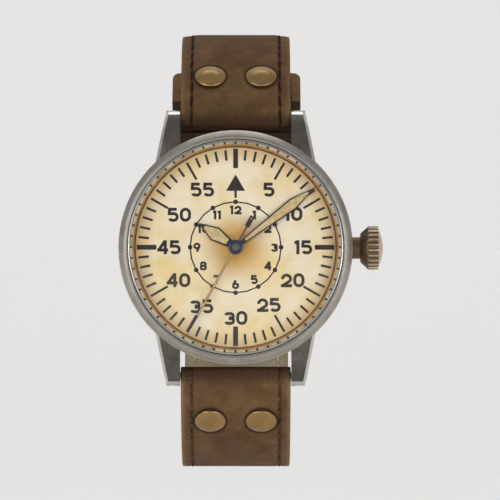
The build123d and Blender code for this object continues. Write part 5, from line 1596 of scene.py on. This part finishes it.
    def punches(self) -> list[BMesh]:
        """Make the cutters of the holes.

        Returns:
            One round bar for each hole.
        """
        bars = []
        for run in self.hole_runs:
            bars.append(bmesh.new())
            bmesh.ops.create_cone(
                bars[-1],
                cap_ends=True,
                segments=24,
                radius1=self.hole_radius,
                radius2=self.hole_radius,
                depth=8,
                matrix=Matrix.Translation((0, run, 0)),
            )
        return bars

    def complete(
        self,
        bm: BMesh,
        part: str,
        finish: Finish,
        ends: Point,
        inset: float,
        rounding: tuple[float, int],
        pitch: float,
        cutters: Sequence[BMesh],
    ) -> None:
        """Point, round, divide, cut and bend a flat strip.

        Args:
            bm: The strip.
            part: Its name after the half's own: leather or lining.
            finish: What it is made of.
            ends: The runs of its two ends.
            inset: How far inside the leather's outline its tail is cut.
            rounding: The width of its rims' rounding, and its flats.
            pitch: The distance between the cuts along it.
            cutters: The shapes that are taken away from it.
        """
        if not self.round_end:
            self.point_tail(bm, ends[1], inset)
        soften(bm, [edge for edge in bm.edges if self.is_rim(edge)], *rounding)
        self.slice_up(bm, *ends, pitch)
        if cutters:
            bm = self.carve(bm, cutters)
        reshape(bm, self.mould)
        node = f"{self.body}_{part}"
        name, slot = f"{self.prefix}_{part}", "strap_leather" if part == "leather" else "lining_leather"
        take(bm, name, self.body, [finish], slot, ROW, [node], smooth=50)

    def make_leather(self) -> None:
        """Make the outer leather, with a pocket for the lining."""
        half = self.thickness / 2
        pocket, end = self.pocket_end, self.end
        under = [(pocket, 0), (pocket, -half), (end, -half)] if self.round_end else [(end, 0)]
        front = [(-half, half), (-half, -half), (self.lining[0], -half), (self.lining[0], 0)]
        bm = self.strip([*front, *under, (end, half)], self.width)
        cutters = self.punches()
        if self.slot:
            cutters.append(self.block(self.slot[0], end + 2, -half - 1, half + 1, self.slot[1]))
        self.complete(bm, "leather", self.leather, (-half, end), 0.0, (0.3, 3), 1.1, cutters)

    def make_lining(self) -> None:
        """Make the lining under the leather."""
        bm = self.block(*self.lining, -self.thickness / 2, -0.02, self.width - 0.06)
        self.complete(bm, "lining", self.inside, self.lining, 0.3, (0.25, 2), 1.4, self.punches())

    def stitches(self) -> None:
        """Lay a row of stitches along each edge, outside and inside, sunk in their channels."""
        half = self.thickness / 2
        bm = bmesh.new()
        last = self.end - (4.5 if self.round_end else self.tail_length + 0.5)
        thread = Vector((self.stitch_radius, self.stitch_length / 2, self.stitch_radius * 0.8, 1))
        size = Matrix.Diagonal(thread) @ Matrix.Rotation(pi / 2, 4, "X")
        for row in (-1, 1):
            for step in range(int((last + 0.2) / self.stitch_pitch)):
                # No two stitches lie quite alike
                run = -0.2 + step * self.stitch_pitch + 0.1 * sin(step * 2.3 + row)
                x = row * self.stitch_line + 0.05 * sin(step * 1.7 + 2 * row)
                lean = Matrix.Rotation(radians(4 * row + 3 * sin(step)), 4, "Z")
                for rise in (half, -half) if run >= self.lining[0] + 1 else (half,):
                    place = Matrix.Translation((x, run, rise)) @ lean @ size
                    bmesh.ops.create_uvsphere(bm, u_segments=8, v_segments=6, radius=1, matrix=place)
        for face in bm.faces:
            face.material_index = int(face.calc_center_median().z < 0)

        def lay(x: float, run: float, rise: float) -> Vector:
            """Sink a point of a stitch into the leather, or less deep into the lining."""
            level, sunk = (half, 0.06) if rise > 0 else (-half, 0.02)
            return self.mould(x, run, level) + LOOP.out(run, self.side) * (rise - level + sunk)

        reshape(bm, lay)
        threads = [self.thread, self.inside_thread]
        take(bm, f"{self.prefix}_stitches", self.body, threads, "strap_leather", ROW, smooth=80)

    def build(self) -> None:
        """Make the leather, the lining and the stitches."""
        self.make_leather()
        self.make_lining()
        self.stitches()


@dataclass
class Keeper:
    """A leather loop round the strap."""

    name: str
    body: str
    run: float
    replaces: str
    width: float = 24.4
    wall: float = 1.3
    side_padding: float = 0.55
    corner: float = 1.5
    rounding: float = 0.28
    length: float = 6.4
    low: float = -2.0
    high: float = 5.0
    sink: float = 0.25

    def build(self) -> None:
        """Make the loop: a box with open ends, rounded corners and a thick wall."""
        bm = bmesh.new()
        size = Matrix.Diagonal((self.width, self.length, self.high - self.low + 2 * self.wall, 1))
        middle = Matrix.Translation((0, 0, (self.low + self.high) / 2))
        bmesh.ops.create_cube(bm, size=1, matrix=middle @ size)
        bmesh.ops.delete(bm, geom=[f for f in bm.faces if abs(f.normal.y) > 0.9], context="FACES")
        corners = [e for e in bm.edges if abs(e.verts[0].co.y - e.verts[1].co.y) > 1]
        soften(bm, corners, self.corner, 5)
        bmesh.ops.recalc_face_normals(bm, faces=bm.faces)
        bmesh.ops.solidify(bm, geom=bm.faces[:], thickness=self.wall)
        inside = self.width / 2 - self.wall
        for vert in bm.verts:
            if inside - 1 < abs(vert.co.x) < inside + 0.05:
                vert.co.x *= (inside - self.side_padding) / inside
        soften(bm, sharp_edges(bm, 60), self.rounding, 3)
        for x in (-8, -4, 0, 4, 8):
            cut(bm, (x, 0, 0), (1, 0, 0))
        # The inside faces take the darker calf, as painted shade inside the loop
        for face in bm.faces:
            face.material_index = int(face.calc_center_median().z < 1)
        centre, out = LOOP.point(0, self.run, 0, 1), LOOP.out(self.run, 1)
        along = Vector((0, out.z, -out.y))

        def lay(x: float, run: float, rise: float) -> Vector:
            """Put a point of the loop round the strap, with its front a little domed."""
            if rise > 2:
                rise += self.sink * cos(min(1.0, abs(x) / 12) * pi / 2) - self.sink
            return centre + Vector((x, 0, 0)) + along * run + out * rise

        # The flat map turns so that the loop's own edges are its worn ones
        reshape(bm, lay, lambda x, run, rise: (run / self.length * 19.4, x + 40, rise))
        finishes = [STRAP_TOP, TURNED_IN]
        take(bm, self.name, self.body, finishes, "strap_leather", ROW, [self.replaces], smooth=50)


@dataclass
class Rivets:
    """Two domed rivets on one half of the strap, each with a turned rim, a shank and a washer."""

    name: str
    body: str
    side: int
    replaces: str
    run: float = 8.4
    spacing: float = 9.2
    radius: float = 2.8
    dome: float = 1.15
    rim: float = 0.22
    seat: float = 2.25
    shank: float = 0.8
    washer: float = 2.0
    washer_sink: float = 0.12
    strap_half: float = 1.7

    def build(self) -> None:
        """Turn the rivets and set them in the leather."""
        shares = (0.16, 0.32, 0.48, 0.62, 0.75, 0.86, 0.94, 0.985)
        back = self.washer_sink - self.seat - self.strap_half
        neck = back + 0.32
        edge = [(self.radius, 0.16), (self.radius - 0.05, 0.02), (self.radius - 0.2, 0)]
        stem = [(self.shank, 0), (self.shank, neck), (self.washer - 0.1, neck)]
        foot = [(self.washer, back + 0.2), (self.washer - 0.08, back), (self.shank, back), (0, back - 0.05)]
        dome = cap_arc(self.radius, self.rim, self.dome, shares)
        across, out = Vector((1, 0, 0)), LOOP.out(self.run, self.side)
        turn = Matrix((across, out.cross(across), out)).transposed().to_4x4()
        bm = bmesh.new()
        for x in (-self.spacing / 2, self.spacing / 2):
            one = bmesh.new()
            turned(one, [(0, self.dome), *dome, *edge, *stem, *foot], 48, closed=False)
            place = Matrix.Translation(LOOP.point(x, self.run, self.seat, self.side))
            bmesh.ops.transform(one, matrix=place @ turn, verts=one.verts)
            absorb(bm, one)
        take(bm, self.name, self.body, [RIVET_BRASS], "rivet_brass", ROW, [self.replaces], smooth=40)


@dataclass
class Strap:
    """The whole strap with its rivets, keepers and buckle."""

    upper: StrapHalf = field(
        default_factory=lambda: StrapHalf(
            1, "strap_12", "upper", 79.7, (3.2, 58.4), STRAP_TOP, TURNED_IN, THREAD, THREAD,
            pad=(1.2, 10.0, 56.0), round_end=True, slot=(74.2, 3.0),
        )
    )
    lower: StrapHalf = field(
        default_factory=lambda: StrapHalf(
            -1, "strap_6", "lower", 94.0, (3.2, 93.6), STRAP_LOW, LINING, PALE_THREAD, CREAM_THREAD,
            hole_runs=tuple(78 - 6.5 * hole for hole in range(7)),
        )
    )

    def build(self) -> None:
        """Make both halves and all that is fixed to them."""
        self.upper.build()
        self.lower.build()
        Rivets("upper_rivets", "strap_12", 1, "rivets_12").build()
        Rivets("lower_rivets", "strap_6", -1, "rivets_6").build()
        Keeper("sewn_keeper", "strap_12", 68.0, "keeper_fixed").build()
        Keeper("loose_loop", "loose_keeper", 60.2, "keeper_free").build()
        for node, name, body, rounding in (
            ("buckle_frame", "buckle_bow", "buckle", 0.35),
            ("buckle_tongue", "buckle_prong", "tongue", 0.22),
        ):
            bm = softened_copy(node, rounding, 40)
            take(bm, name, body, [LUG_STEEL], "case_steel", ROW, [node], recalc=False)
        for node in ("buckle_pin", "spring_bar_12", "spring_bar_6"):
            dress(node, PINION)


# ---------------------------------------------------------------- movement


@dataclass
class Movement:
    """The hidden works: every solid stays and gets its metal."""

    finishes: dict[str, Finish] = field(
        default_factory=lambda: {
            "movement_nickel": NICKEL,
            "wheel_brass": WHEEL_BRASS,
            "pinion_steel": PINION,
            "blued_steel": BLUED,
            "jewel_red": RUBY,
            "case_steel": CASE_STEEL,
            "ring_brass": RING_BRASS,
            "seal_rubber": RUBBER,
        }
    )

    def build(self, final: set[str]) -> None:
        """Dress each solid that nothing else has dressed or replaced.

        Args:
            final: The names of the finishes' own materials.
        """
        for node in frame["nodes"].values():
            for holder in node.material_slots:
                packed = holder.material.name.split(".")[0] if holder.material else ""
                if packed not in final:
                    holder.material = self.finishes.get(packed, PINION).material()
        log.info("movement dressed")


# ---------------------------------------------------------------- studio


@dataclass
class Studio:
    """A pale paper sweep, soft lamps and the camera in front of the dial."""

    distance: float = 893.5
    below: float = 1.5
    aim: Triple = (2.58, -11.5, -0.54)
    # The floor lies just under the lowest reach of the lower strap half at its joint's limit
    floor: float = -62.8
    # The sweep, in metres: half its width, where its bend starts, the bend's radius, its height
    paper: tuple[float, float, float, float] = (3.0, 1.2, 0.8, 3.0)
    air: str = "#F1F1F2"
    air_strength: float = 0.5
    # Each lamp's name, place and aim in metres, the length of its side and its power in watts; the
    # two low ones reach the strap where it curls under
    lamps: tuple[tuple[str, Triple, Triple, float, float], ...] = (
        ("key", (-0.75, -0.85, 0.3), (0, 0, 0), 0.6, 1.75),
        ("fill", (0.85, -0.8, 0.12), (0, 0, 0), 0.5, 1.1),
        ("wall", (0, 0.45, 1.5), (0, 2.2, 0.2), 1.0, 5.5),
        ("low", (-0.46, -0.85, -0.02), (0, 0, -0.03), 0.08, 0.8),
        ("low", (0.46, -0.85, -0.02), (0, 0, -0.03), 0.08, 0.8),
    )

    def sweep(self) -> None:
        """Make the floor, which curves up behind the watch."""
        bm = bmesh.new()
        half, bend, radius, height = self.paper
        verts = [bm.verts.new((-half, -half, 0)), bm.verts.new((-half, bend, 0))]
        bm.edges.new(verts)
        made = bmesh.ops.spin(
            bm,
            geom=[verts[1]],
            cent=(-half, bend, radius),
            axis=(1, 0, 0),
            angle=radians(90),
            steps=16,
        )["geom_last"]
        last = next(g for g in made if isinstance(g, BMVert))
        bm.edges.new((last, bm.verts.new(last.co + Vector((0, 0, height)))))
        draw_out(bm, bm.edges[:], (2 * half, 0, 0))
        bmesh.ops.translate(bm, verts=bm.verts, vec=(0, 0, self.floor * MM))
        bmesh.ops.recalc_face_normals(bm, faces=bm.faces)
        mesh = settled(bm, "paper_sweep")
        mesh.shade_smooth()
        mesh.materials.append(Backdrop("pale_paper").material())
        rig.stage(linked("paper_sweep", mesh))

    def light(self) -> None:
        """Hang the lamps and fill the room with plain soft light."""
        for name, spot, aim, size, power in self.lamps:
            light = bpy.data.lights.new(name, "AREA")
            light.size, light.energy = size, power
            holder = linked(name, light)
            holder.location = spot
            holder.rotation_euler = (Vector(aim) - Vector(spot)).to_track_quat("-Z", "Y").to_euler()
        world = bpy.data.worlds.new("soft_room")
        bpy.context.scene.world = world
        world.use_nodes = True
        air = world.node_tree.nodes["Background"].inputs
        air["Color"].default_value = linear(self.air)
        air["Strength"].default_value = self.air_strength

    def camera(self) -> None:
        """Set the camera in front of the dial and a little below it."""
        lens = bpy.data.cameras.new("camera")
        lens.lens, lens.sensor_width = 360, 36
        lens.clip_start, lens.clip_end = 0.01, 20
        holder = linked("camera", lens)
        tilt = radians(self.below)
        back = Vector((0, -cos(tilt), -sin(tilt))) * self.distance
        holder.location = (Vector(self.aim) + back) * MM
        holder.rotation_euler = (radians(90) + tilt, 0, 0)
        bpy.context.scene.camera = holder

    def build(self) -> None:
        """Set up the studio."""
        bpy.context.scene.view_settings.view_transform = "Standard"
        self.sweep()
        self.light()
        self.camera()


def main() -> None:
    """Build the watch and the studio, in order."""
    Studio().build()
    Case().build()
    Dial().build()
    for hand in HANDS:
        hand.build()
    Strap().build()
    Movement().build({finish.name for finish in globals().values() if isinstance(finish, Finish)})
    with open("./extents.json", "w", encoding="utf-8") as file:
        boxes = [[list(map(float, corner)) for corner in box] for box in (FRAME_BOX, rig.bounds())]
        json.dump(boxes, file)


if __name__ == "__main__":
    main()
